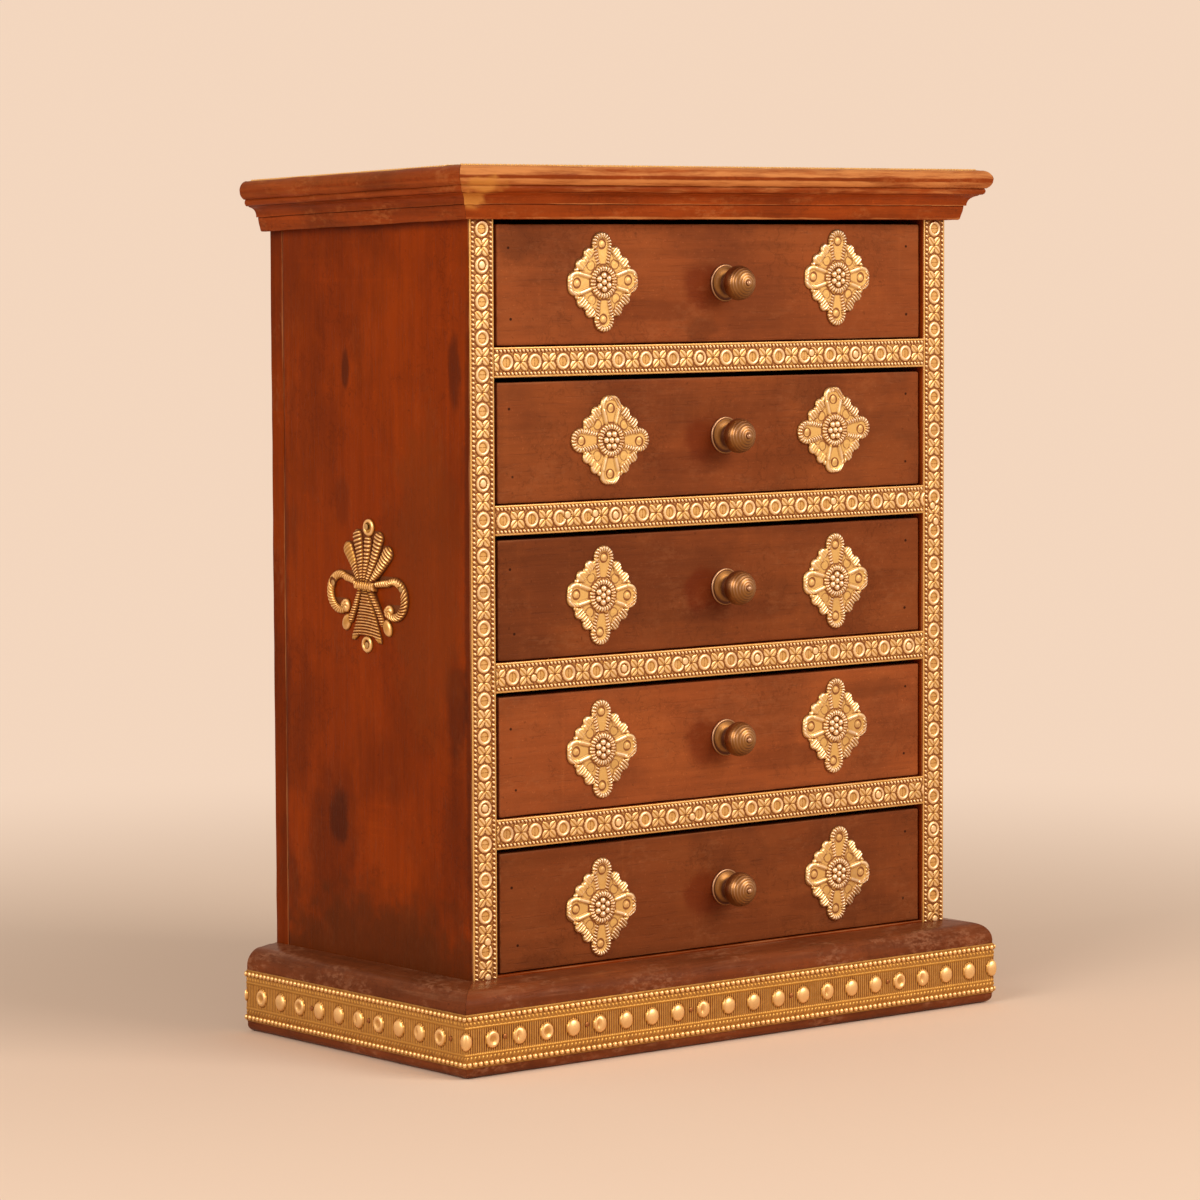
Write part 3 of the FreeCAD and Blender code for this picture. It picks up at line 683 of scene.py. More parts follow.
def strip_relief(u, v, pitch, ring, pins):
    """Height and tone of a narrow strip: rope channels, a ring, half a four-petalled flower at each end. Its
    tone carries painted shade as dark lines round the ring, the leaves and the pins.
    """
    leaf_foot, leaf_tip, leaf_half = 0.35, 4.05, 1.22
    across, away = np.abs(v), np.hypot(u, v)
    channel = np.exp(-(((across - STRIP_ROPE) / 0.62) ** 4))
    wall = crest(away - ring, 0.62)
    # Painted shade: a dark line round the foot of the ring's wall, and one just inside it
    moat = bell(away - ring - 0.85, 0.26)
    sheet = Relief(0.26 - 0.12 * channel, 0.25 - 0.20 * channel + 0.34 * (across > 4.5) - 0.34 * moat)
    sheet.put(away < ring, value=0.6 - 0.5 * bell(away - ring + 0.72, 0.2))
    sheet.put(away < ring - 0.4, 0.09 + 0.12 * crest(away, 1.7))
    sheet.put(wall > 0.3, value=0.5 + 0.5 * wall)
    sheet.lift(0.2 + 0.56 * wall)
    w = u - np.sign(u) * pitch / 2
    for turn in (43, 137, 223, 317):
        run, side = turned(w, v, -math.radians(turn))
        side = np.abs(side)
        share = np.clip((run - leaf_foot) / (leaf_tip - leaf_foot), 0, 1)
        half = leaf_half * np.sin(math.pi * share ** 0.85) ** 0.65
        inside = (run > leaf_foot) & (run < leaf_tip) & (side < half)
        near = (run > 0.1) & (run < 4.4) & (side < half + 0.38) & (wall < 0.2)
        rib = bell(side, 0.2)
        leaf = 0.46 - 0.13 * rib - 0.08 * (side / np.maximum(half, 0.1)) ** 4
        # Painted shade: a dark outline round each leaf
        sheet.put(near, value=np.minimum(sheet.value, 0.0))
        sheet.put(inside, np.maximum(sheet.height, leaf), 0.73 - 0.66 * rib)
    # Painted shade: a dark ring round each pin head
    for pu, pv, size in pins:
        off = np.hypot(u - pu, v - pv)
        sheet.put(off < size + 0.45, np.minimum(sheet.height, 0.12), 0.0)
        sheet.put(off < size, 0.56 + 0.12 * crest(off, size), 0.6 + 0.35 * crest(off, size))
    fall = np.clip((5.1 - across) / 0.3, 0, 1)
    return sheet.height * (0.6 + 0.4 * fall), np.clip(sheet.value, 0, 1)


def plinth_relief(u, v, pitch, half, kind):
    """Height and tone of the plinth strip: two fine ropes, a ribbed field and one dome.

    The dome is whole (kind 0), pressed in at its middle (1) or dented on one side (2).
    """
    rope_line, ridge_line, field_edge, base, base_tone = 5.75, 4.55, 4.3, 0.25, 0.28
    across = np.abs(v)
    channel = np.exp(-(((across - PLINTH_BEADS) / 1.15) ** 6))
    sheet = Relief(np.full(u.shape, base), base_tone - 0.3 * channel)
    rope = crest(across - rope_line, 0.68) * (0.5 + 0.5 * ribs(u + 0.4 * across, pitch / 7))
    sheet.lift(base + 0.3 * rope)
    sheet.put(np.abs(across - rope_line) < 0.85, value=0.06 + 0.62 * rope)
    ridge = crest(across - ridge_line, 0.32)
    sheet.lift(base + 0.22 * ridge)
    sheet.mark(base_tone + 0.2 * ridge)
    field = np.clip((field_edge - across) / 0.5, 0, 1)
    rib = ribs(u, pitch / 12)
    sheet.height += field * 0.16 * rib
    sheet.value += field * (0.10 + 0.32 * rib)
    away = np.hypot(u / half, v / (half * 1.06))
    swell = crest(away, 1.0)
    dome, shine = 0.35 + 1.1 * swell, 0.56 + 0.42 * swell
    if kind == 1:
        dent = np.exp(-((away / 0.55) ** 4))
        dome = dome - 0.8 * dent
        shine = shine - 0.36 * dent + 0.3 * bell(away - 0.72, 0.12)
    if kind == 2:
        dent = bell(np.hypot((u + 0.9) / 0.8, v / 1.5), 1.0)
        dome = dome - 0.75 * dent
        shine = shine - 0.3 * dent
    sheet.put(away < 1, np.maximum(sheet.height * 0.4, dome), shine)
    moat = bell(away - 1.1, 0.09)
    sheet.height -= 0.1 * moat
    sheet.value -= 0.26 * moat * (away > 1)
    fall = np.clip((9.2 - across) / 0.3, 0, 1)
    return sheet.height * (0.5 + 0.5 * fall), np.clip(sheet.value, 0, 1)


def lozenge_field(a, b):
    """Outline distance, height and darkening of a drawer's lozenge mount: painted shade in the gaps between
    ribs and round the raised parts, a painted shadow beside each pin, and darker patches in the right-hand
    recessed fields.
    """
    x, y = np.abs(a), np.abs(b)
    wide, tall, lobe_up, wing_out, wing_size = 14.0, 15.6, 12.9, 11.0, 4.4
    slant = math.hypot(wide, tall)
    along = ((wide - x) * wide + y * tall) / slant
    straight = (x / wide + y / tall - 1) * wide * tall / slant
    edge = straight
    scallops = ((5.9, 9.9, 2.15), (9.5, 6.3, 2.15), (7.5, 7.9, 1.6), (4.4, 11.2, 0.8), (11.4, 4.6, 1.0))
    for sx, sy, size in scallops:
        edge = np.minimum(edge, np.hypot(x - sx, y - sy) - size)
    lobe = np.hypot(a, y - lobe_up)
    square = (np.abs(x - wing_out) / wing_size) ** 2.8 + (y / wing_size) ** 2.8
    wing = (square ** (1 / 2.8) - 1) * wing_size
    outline = np.minimum(np.minimum(edge, lobe - 4.3), wing)
    free = (lobe > 4.1) & (wing > 0.1)
    ribbed = np.where(a > 0, np.where(b < 0, 1.0, 0.5), np.where(b < 0, 0.6, 0.15))
    comb = ribbed * ribs(along, 1.15)

    def gaps(wave, where):
        return 0.8 * np.clip(-wave - 0.15, 0, 1) * where

    border = crest(np.clip(edge, -0.9, 0) + 0.9, 0.9) * np.clip((straight + 1.0) / 0.4, 0, 1) * free
    inner = straight + 1.35 + 0.4 * ribs(along, 3.9)
    # The second value is painted shade: dark lines in the gaps between ribs and round the raised parts
    cast = Relief(np.where(border > 0, 0.5 + border * (0.7 + 0.3 * comb), 0.48),
                  0.55 * bell(inner, 0.32) * free - 0.3 * (straight < -1.6))
    # Darker patches in the two right-hand recessed fields
    for sb in (-1, 1):
        recess_darkening = np.exp(-(((a - 5.6) / 1.9) ** 2 + ((b - sb * 6.3) / 2.3) ** 2))
        cast.value += 0.5 * recess_darkening * (straight < -1.2)
    scroll = np.hypot(x - 5.3, y - 5.9)
    cast.mark(0.75 * bell(scroll - 1.7, 0.3) * free * (x + y < 12.4))
    cast.height += 0.3 * crest(scroll, 1.5) * free
    flutes = np.cos(19 * np.arctan2(y - lobe_up, a))
    rim = crest(lobe - 3.3, 1.1) * (y > 11.4)
    cast.lift(0.5 + rim * (0.72 + 0.34 * flutes))
    cast.mark(gaps(comb, border > 0.05))
    cast.mark(gaps(flutes, rim > 0.05))
    petal = (lobe < 2.3) | ((x < 1.3 + 0.28 * (y - 4.5)) & (y > 4.5) & (y < lobe_up))
    cast.put(petal, np.maximum(cast.height, 0.66), -0.55)
    for sx, sy in ((-1, -1), (-1, 1), (1, -1), (1, 1)):
        away, run, share, lean = bar(a, b, (sx * 3.3, sy * 12.0), (sx * 1.9, sy * 5.2))
        half = 1.05 - 0.25 * share
        wave = ribs(run + 0.25 * sx * sy * lean, 1.1)
        cast.mark(0.7 * bell(away - half - 0.25, 0.26) - 0.3)
        cast.lift(0.48 + 1.05 * crest(away, half) * (0.58 + 0.42 * wave))
        cast.put(away < half, value=gaps(wave, 1.0))
        away, *_ = bar(a, b, (sx * 10.2, sy * 3.3), (sx * 5.2, sy * 1.9))
        cast.mark(0.7 * bell(away - 1.2, 0.26) * (x < 11) - 0.3)
        cast.lift(0.5 + 0.85 * crest(away, 0.85))
        cast.put(away < 0.8, value=0)
    frill = np.where(a > 0, 0.42, 0.12) * ribs(0.75 * x + y, 1.1)
    cast.lift(0.5 + crest(wing + 0.9, 0.9) * (x > 9.6) * (0.68 + frill * (b < 2)))
    # Painted shadow: a dark crescent beside each pin head, offset to one side
    for px, py in MOUNT_PINS:
        away = np.hypot(a - px, b - py)
        shadow = np.hypot(a - px + 0.5, b - py - 0.2)
        cast.put(away < 1.75, np.minimum(cast.height, 0.62))
        cast.put(away < 2.1, value=1.4 * bell(shadow - 1.6, 0.4))
    away = np.hypot(a, b)
    collar = crest(away - 4.65, 1.1)
    wave = np.cos(27 * np.arctan2(b, a))
    cast.mark(0.8 * bell(away - 6.05, 0.32))
    cast.put(away < 5.7, 0.6 + collar * (1.05 + 0.34 * wave))
    cast.put(collar > 0.1, value=gaps(wave, 1.0))
    cast.put(away < 3.7, 0.75, 0.8)
    for k in range(7):
        bead_a, bead_b = turned(2.36 if k < 6 else 0.0, 0.0, math.radians(60 * k + 30))
        bead = np.hypot(a - bead_a, b - bead_b)
        cast.lift(0.75 + 1.35 * crest(bead, 1.2))
        cast.put(bead < 1.02, value=0)
    return outline, rounded_off(cast.height, outline, 0.2), cast.value


def plume_field(a, b):
    """Outline distance, height and darkening of a side's plume mount: painted shade in the crevices between
    its members, heavier on the right-hand members as a painted shadow.
    """
    outline = np.full(a.shape, 1e9)
    cast = Relief(np.full(a.shape, 0.3), np.zeros(a.shape))
    swell = 1.2 * np.exp(-((a / 9.0) ** 2 + (b / 8.5) ** 2))

    def add(distance, top, rib=0.0, dirt=0.0):
        """One member of the plume, laid over what lies lower."""
        nonlocal outline
        outline = np.minimum(outline, distance)
        # Painted shade between the ribs and along the member's outline
        crevice_shade = dirt * (np.clip(0.25 - rib, 0, 1) + 1.3 * bell(distance, 0.6))
        cast.put((distance < 0.05) & (top > cast.height), top, crevice_shade)

    petals = [(0, (0.0, 1.2), (0.0, 15.4), 2.1)]
    for sign in (-1, 1):
        petals += [(sign, (1.3, 1.1), (6.2, 16.7), 2.6), (sign, (2.8, 0.9), (11.4, 11.9), 2.85)]
    fan, groove = np.full(a.shape, -1.0), np.zeros(a.shape)
    for sign, foot, tip, wide in petals:
        away, run, share, _ = bar(a, b, (sign * foot[0], foot[1]), (sign * tip[0], tip[1]))
        half = 0.8 + (wide - 0.8) * share ** 0.75
        worn = 0.25 if sign < 0 and tip[0] > 10 else 1.0
        rib = ribs(run, 0.92 + 0.26 * share) * np.where(share > 0.55, worn, 1.0)
        rise = np.where(away < half, crest(away, half), -1.0)
        groove = np.where(rise > 0, np.maximum(groove, bell(rise - fan, 0.5)), groove)
        fan = np.maximum(fan, rise)
        add(away - half, 0.5 + swell + crest(away, half) * (0.85 + 0.3 * rib), rib, 0.72)
    # The grooves between petals are cut lower and darkened as painted shade
    cast.height -= 0.5 * groove
    cast.mark(groove * 1.2)
    loop = np.hypot(a, b - 20.2)
    add(loop - 3.1, 0.5 + 0.5 * crest(loop - 2.4, 0.8))
    loop = np.hypot(a, b + 20.3)
    drop = np.minimum(loop - 3.0, np.abs(a) * 0.8 + np.abs(b + 21.2) - 2.4)
    add(drop, 0.45 + 0.5 * crest(loop - 2.2, 0.85))
    for sign in (-1, 1):
        scroll_a, scroll_b, radius, begin, sweep_angle = a - sign * 15.4, b + 3.4, 6.2, 122, 250
        ring = np.hypot(scroll_a, scroll_b)
        swept = np.mod(begin - np.degrees(np.arctan2(scroll_b, scroll_a * sign)), 360)
        share = np.clip(swept / sweep_angle, 0, 1)
        half = 1.25 + 0.6 * np.sin(math.pi * np.clip(share, 0.05, 0.95))
        gap = np.where(swept < sweep_angle, np.abs(ring - radius) - half, 9.0)
        twist = ribs(np.radians(swept) * radius + 0.7 * (ring - radius), 1.2)
        # The right-hand scroll gets more painted shade than the left: a painted shadow to one side
        crisp, side_shade = (0.34, 0.6) if sign > 0 else (0.12, 0.25)
        add(gap, 0.5 + crest(ring - radius, half) * (0.95 + crisp * twist), twist, side_shade)
        ball_a, ball_b = a - sign * 12.6, b + 7.9
        ball = np.hypot(ball_a, ball_b)
        coil = np.cos(5 * np.arctan2(ball_b, ball_a) + 2.2 * ball)
        add(ball - 2.5, 0.55 + crest(ball, 2.6) * (1.05 + 0.14 * coil))
        away, run, share, _ = bar(a, b, (sign * 4.2, 0.7), (sign * 12.4, 2.0))
        half = 1.15 + 0.35 * share
        rib = ribs(run, 1.15)
        # Again more painted shade on the right-hand arm than on the left
        crisp, side_shade = (0.34, 0.6) if sign > 0 else (0.08, 0.2)
        add(away - half, 0.5 + 0.7 * swell + crest(away, half) * (0.9 + crisp * rib), rib, side_shade)
        away, run, share, side = bar(a, b, (sign * 2.9, -1.5), (sign * 9.3, -12.2))
        half = 1.1 + 0.4 * share
        rib = ribs(run + 0.5 * sign * side, 1.06)
        add(away - half, 0.5 + swell + crest(away, half) * (0.8 + 0.3 * rib), rib, 0.7)
        leaf = np.hypot((a - sign * 11.9) / 2.5, (b + 13.6) / 2.9 + 0.1 * (a * sign - 11.9))
        add((leaf - 1) * 2.5, 0.55 + 0.85 * crest(leaf, 1.02))
    flare = 1.4 + 7.3 * np.clip((-1.2 - b) / 17, 0, 1)
    foot = -17.4 - 2.0 * np.clip((np.abs(a) - 4.2) / 2.6, 0, 1)
    skirt = np.maximum(np.maximum((np.abs(a) - flare) * 0.92, b + 0.8), foot - b)
    rib = ribs(b + 0.012 * a ** 2, 1.05) * np.clip((b + 18.2) / 1.2, 0.1, 1)
    add(skirt, 0.5 + swell + 0.6 * crest(a, flare + 1.0) + 0.3 * rib, rib, 0.7)
    outline = np.maximum(outline, 1.3 - loop)
    band = np.maximum(np.abs(a) - 5.6, np.abs(b) - 1.5)
    # Painted shade: a dark border round the raised middle band
    cast.put(band < 0.9, value=1.1)
    add(band, 2.3 + 0.5 * crest(b, 1.7) + 0.12 * ribs(a, 1.3), 0.3, 0.5)
    # Painted shade: a dark ring round each pin's seat
    for pa, pb in PLUME_ARM_PINS:
        seat = np.hypot(a - pa, b - pb)
        cast.put(seat < 1.5, np.minimum(cast.height, 0.95))
        cast.put(seat < 1.65, value=1.0)
    return outline, rounded_off(cast.height, outline, 0.25), cast.value


def relief_mesh(name, field, reach, step, place):
    """Cast ornament: outline and height become a closed mesh on a flat surface."""
    a = np.arange(-reach[0], reach[0] + step, step)
    b = np.arange(-reach[1], reach[1] + step, step)
    grid_a, grid_b = np.meshgrid(a, b, indexing="ij")
    outline, height, darkening = field(grid_a, grid_b)
    near = ridges(height, max(1, int(round(0.45 / step))), 0.42)
    far = ridges(height, max(1, int(round(1.7 / step))), 1.5)
    # The field's darkening, mostly painted shade, lowers the ridge value
    ridge = np.clip(0.60 * near + 0.42 * far - 0.5 * darkening, 0, 1)
    slope_a, slope_b = np.gradient(outline, step)
    middle = (outline[:-1, :-1] + outline[1:, :-1] + outline[1:, 1:] + outline[:-1, 1:]) / 4
    kept = middle < 0
    used = np.zeros(outline.shape, int)
    for da in (0, 1):
        for db in (0, 1):
            used[da:da + kept.shape[0], db:db + kept.shape[1]] += kept
    rim = (used > 0) & (used < 4)
    size = np.maximum(np.hypot(slope_a, slope_b), 0.3)
    pull = np.where(rim, np.clip(outline / size, -step, step), 0)
    grid_a = grid_a - pull * slope_a / size
    grid_b = grid_b - pull * slope_b / size
    number = np.full(outline.shape, -1)
    number[used > 0] = np.arange((used > 0).sum())
    top = np.stack([grid_a[used > 0], grid_b[used > 0], height[used > 0]], 1)
    ci, cj = np.nonzero(kept)
    quads = grid_faces(number)[kept.ravel()]
    wide = np.pad(kept, 1)
    walls = []
    for di, dj, first, second in ((0, -1, 0, 1), (1, 0, 1, 2), (0, 1, 2, 3), (-1, 0, 3, 0)):
        open_side = ~wide[ci + 1 + di, cj + 1 + dj]
        walls.append(quads[open_side][:, [first, second]])
    walls = np.concatenate(walls)
    lowest = len(top)
    rim_points = np.unique(walls)
    below = dict(zip(rim_points.tolist(), range(lowest, lowest + len(rim_points))))
    foot = top[rim_points].copy()
    foot[:, 2] = 0
    faces = quads.tolist()
    faces += [[second, first, below[first], below[second]] for first, second in walls.tolist()]
    ridge_values = np.concatenate([ridge[used > 0], np.zeros(len(rim_points))])
    points = np.concatenate([top, foot])
    mesh = plain_mesh(name, place(points), faces, {"ridge": ridge_values}, 62)
    with opened(mesh) as work:
        edges = [edge for edge in work.edges if edge.is_boundary]
        bmesh.ops.triangle_fill(work, edges=edges, use_beauty=True)
        bmesh.ops.recalc_face_normals(work, faces=work.faces)
    return mesh


# Geometry Nodes: rows of tiles and scattered pins

def tree_node(tree, kind, sockets=None, **settings):
    """Any node of a tree: its type, the values or links of its sockets, and its settings."""
    made = tree.nodes.new(kind)
    for key, value in settings.items():
        setattr(made, key, value)
    for key, value in (sockets or {}).items():
        if isinstance(value, bpy.types.NodeSocket):
            tree.links.new(value, made.inputs[key])
        else:
            made.inputs[key].default_value = value
    return made


def new_tree(name, inputs):
    """Empty tree with a geometry in and out and the named inputs."""
    tree = bpy.data.node_groups.new(name, "GeometryNodeTree")
    tree.interface.new_socket("Geometry", in_out="INPUT", socket_type="NodeSocketGeometry")
    for label, kind in inputs:
        tree.interface.new_socket(label, in_out="INPUT", socket_type=kind)
    tree.interface.new_socket("Geometry", in_out="OUTPUT", socket_type="NodeSocketGeometry")
    return tree, tree.nodes.new("NodeGroupInput").outputs


def tile_tree():
    """Sets a tile on each point of a row, chosen by the point's variant, and welds the row."""
    tree, given = new_tree("row_of_tiles", (
        ("Tiles", "NodeSocketCollection"), ("Weld", "NodeSocketFloat"), ("Finish", "NodeSocketMaterial")))
    tiles = tree_node(tree, "GeometryNodeCollectionInfo", {
        "Collection": given["Tiles"], "Separate Children": True, "Reset Children": True})
    variant = tree_node(tree, "GeometryNodeInputNamedAttribute", {"Name": "variant"}, data_type="INT")
    row = tree_node(tree, "GeometryNodeInstanceOnPoints", {
        "Points": given["Geometry"], "Instance": tiles.outputs[0], "Pick Instance": True,
        "Instance Index": variant.outputs[0]})
    solid = tree_node(tree, "GeometryNodeRealizeInstances", {"Geometry": row.outputs[0]})
    welded = tree_node(tree, "GeometryNodeMergeByDistance", {
        "Geometry": solid.outputs[0], "Distance": given["Weld"]})
    coated = tree_node(tree, "GeometryNodeSetMaterial", {
        "Geometry": welded.outputs[0], "Material": given["Finish"]})
    tree_node(tree, "NodeGroupOutput", {"Geometry": coated.outputs[0]})
    return tree


def pin_tree():
    """Sets a pin on each point, standing along the point's own direction, slightly turned."""
    tree, given = new_tree("scattered_pins", (
        ("Pin", "NodeSocketObject"), ("Seed", "NodeSocketInt"), ("Finish", "NodeSocketMaterial")))
    pin = tree_node(tree, "GeometryNodeObjectInfo", {"Object": given["Pin"], "As Instance": True})
    out = tree_node(tree, "GeometryNodeInputNamedAttribute", {"Name": "out"}, data_type="FLOAT_VECTOR")
    size = tree_node(tree, "FunctionNodeRandomValue", {2: 0.9, 3: 1.0, "Seed": given["Seed"]},
                     data_type="FLOAT")
    aim = tree_node(tree, "FunctionNodeAlignRotationToVector", {"Vector": out.outputs[0]}, axis="Z")
    set_on = tree_node(tree, "GeometryNodeInstanceOnPoints", {
        "Points": given["Geometry"], "Instance": pin.outputs["Geometry"], "Rotation": aim.outputs[0],
        "Scale": size.outputs[1]})
    solid = tree_node(tree, "GeometryNodeRealizeInstances", {"Geometry": set_on.outputs[0]})
    coated = tree_node(tree, "GeometryNodeSetMaterial", {
        "Geometry": solid.outputs[0], "Material": given["Finish"]})
    tree_node(tree, "NodeGroupOutput", {"Geometry": coated.outputs[0]})
    return tree


def grown(host_mesh, tree, inputs):
    """Plain mesh that a tree makes on the points of a mesh."""
    host = bpy.data.objects.new("row", host_mesh)
    bpy.context.scene.collection.objects.link(host)
    modifier = host.modifiers.new("row", "NODES")
    modifier.node_group = tree
    for item in tree.interface.items_tree:
        if item.in_out == "INPUT" and item.name in inputs:
            modifier[item.identifier] = inputs[item.name]
    depsgraph = bpy.context.evaluated_depsgraph_get()
    mesh = bpy.data.meshes.new_from_object(host.evaluated_get(depsgraph), depsgraph=depsgraph)
    host.modifiers.remove(modifier)
    bpy.data.objects.remove(host)
    return mesh


def add_tile(tiles, points, faces, ridge):
    """One more tile in a set, and its number there."""
    number = len(tiles.objects)
    mesh = plain_mesh(f"{tiles.name}_{number}", points, faces, {"ridge": ridge})
    tiles.objects.link(bpy.data.objects.new(mesh.name, mesh))
    return number


def tile_set(name, relief, kinds, size, steps):
    """Collection of tile objects, one for each kind of a relief."""
    tiles = bpy.data.collections.new(name)
    rows, columns = steps
    u, v = (np.linspace(-side / 2, side / 2, count) for side, count in zip(size, steps))
    grid_u, grid_v = np.meshgrid(u, v, indexing="ij")
    near = np.stack([u, np.full(rows, v[0]), np.zeros(rows)], 1)
    far = np.stack([u, np.full(rows, v[-1]), np.zeros(rows)], 1)
    index = np.arange(rows * columns).reshape(rows, columns)
    low = rows * columns + np.arange(rows)
    high = low + rows
    faces = np.concatenate([grid_faces(index),
                            np.stack([low[:-1], low[1:], index[1:, 0], index[:-1, 0]], 1),
                            np.stack([high[1:], high[:-1], index[:-1, -1], index[1:, -1]], 1),
                            np.stack([low[:-1], high[:-1], high[1:], low[1:]], 1)]).tolist()
    for kind in kinds:
        height, tone = relief(grid_u, grid_v, kind)
        top = np.stack([grid_u, grid_v, height], -1).reshape(-1, 3)
        ridge = np.concatenate([tone.ravel(), np.full(2 * rows, 0.2)])
        add_tile(tiles, np.concatenate([top, near, far]), faces, ridge)
    return tiles


def add_bead(tiles, radii, slant):
    """Last tile of a set: one low bead, leaning along the strip."""
    rings = ((1.0, 0.0, 0.1), (0.92, 0.45, 0.5), (0.55, 0.86, 0.95))
    points, faces, ridge = domed_head(rings, 8, (1.0, 1.0))
    points *= radii
    points[:, 0] += slant * points[:, 1]
    return add_tile(tiles, points, faces, ridge)


def tile_row(name, tree, tiles, finish, pitch, start, end, phase, variants, lay, beads):
    """Strip from start to end along its run, cut off square, closed and laid in place."""
    first = math.floor((start - phase) / pitch) - 1
    last = math.ceil((end - phase) / pitch) + 1
    points = [(phase + k * pitch, 0, 0) for k in range(first, last + 1)]
    kinds = [variants(k) for k in range(first, last + 1)]
    number, across, seat, spacing = beads
    run = np.arange(math.ceil(start / spacing), math.floor(end / spacing) + 1) * spacing
    points += [(u, v, seat) for v in (-across, across) for u in run]
    kinds += [number] * (2 * len(run))
    host = plain_mesh(name + "_points", points, [])
    picks = host.attributes.new("variant", "INT", "POINT")
    picks.data.foreach_set("value", np.array(kinds, np.int32))
    mesh = grown(host, tree, {"Tiles": tiles, "Weld": 1e-5, "Finish": finish})
    with opened(mesh) as work:
        for level, normal in ((start, (-1, 0, 0)), (end, (1, 0, 0))):
            everything = work.verts[:] + work.edges[:] + work.faces[:]
            bmesh.ops.bisect_plane(work, geom=everything, plane_co=(level * MM, 0, 0), plane_no=normal,
                                   clear_outer=True)
        bmesh.ops.holes_fill(work, edges=[edge for edge in work.edges if edge.is_boundary], sides=0)
    flat = np.zeros(len(mesh.vertices) * 3, np.float32)
    mesh.vertices.foreach_get("co", flat)
    placed = lay(flat.reshape(-1, 3).astype(float) / MM)
    mesh.vertices.foreach_set("co", (placed * MM).astype(np.float32).ravel())
    mesh.update()
    mesh.shade_smooth()
    mesh.set_sharp_from_angle(angle=math.radians(75))
    mesh.name = name
    return mesh


def pin_mesh(radius, rise, length):
    """Small hammered pin: a low domed head on a thin shank, head's seat at zero."""
    shank = 0.4
    rings = ((shank, -length, 0.1), (shank, 0.0, 0.1), (radius, 0.0, 0.15), (radius, rise * 0.45, 0.55),
             (radius * 0.72, rise * 0.85, 0.8))
    points, faces, ridge = domed_head(rings, 12, (rise, 0.7))
    return outward(plain_mesh("pin", points, faces, {"ridge": ridge}, 50))


def pins_at(name, tree, pin, finish, spots, seed):
    """Pins at (point, direction) pairs in millimetres, as one mesh."""
    host = plain_mesh(name + "_points", [point for point, _ in spots], [])
    out = host.attributes.new("out", "FLOAT_VECTOR", "POINT")
    out.data.foreach_set("vector", np.array([way for _, way in spots], np.float32).ravel())
    mesh = grown(host, tree, {"Pin": pin, "Seed": seed, "Finish": finish})
    mesh.name = name
    return mesh


def on_side(points, sign, y, z, turn=0.0):
    """Lay a flat ornament on the left (-1) or right (1) side of the carcass."""
    a, b = turned(points[:, 0], points[:, 1], math.radians(turn))
    return np.stack([sign * (HALF_WIDTH + points[:, 2]), y + sign * a, z + b], 1)


def on_front(points, x, z, y, turn=0.0):
    """Lay a flat ornament on a drawer's face."""
    a, b = turned(points[:, 0], points[:, 1], math.radians(turn))
    return np.stack([x + a, y - points[:, 2], z + b], 1)


# How each pair of lozenges was set by hand: offset up and turn in degrees, left then right
MOUNT_SETTING = {
    1: ((0.7, 2.0), (1.5, -1.0)),
    2: ((-0.2, 89.0), (0.4, 92.0)),
    3: ((-0.2, -3.4), (-0.4, 1.0)),
    4: ((0.0, 1.5), (0.6, -2.0)),
    5: ((-1.6, -1.0), (0.2, -3.0)),
}
MOUNT_PINS = ((11.3, 0.0), (-11.3, 0.0), (0.2, 12.9), (-0.2, -12.8))
PLUME_ARM_PINS = ((19.8, 0.0), (-19.8, 0.0))
PLUME_RING_PINS = ((0.0, 20.5), (0.0, -20.5))


def mount_places(number):
    """Middle and turn of a drawer's two lozenges: (x, z, turn)."""
    low, high = corners(f"drawer_{number}_mounts")
    middle = drawer_middle(number)[1]
    left, right = MOUNT_SETTING[number]
    half = LOZENGE_TALL_HALF if left[1] > 45 else LOZENGE_WIDE_HALF
    return ((low[0] + half, middle + left[0], left[1]), (high[0] - half, middle + right[0], right[1]))


def drawer_middle(number):
    """Face and middle height of a drawer's front."""
    low, high = corners(f"drawer_{number}_front")
    return low[1], (low[2] + high[2]) / 2


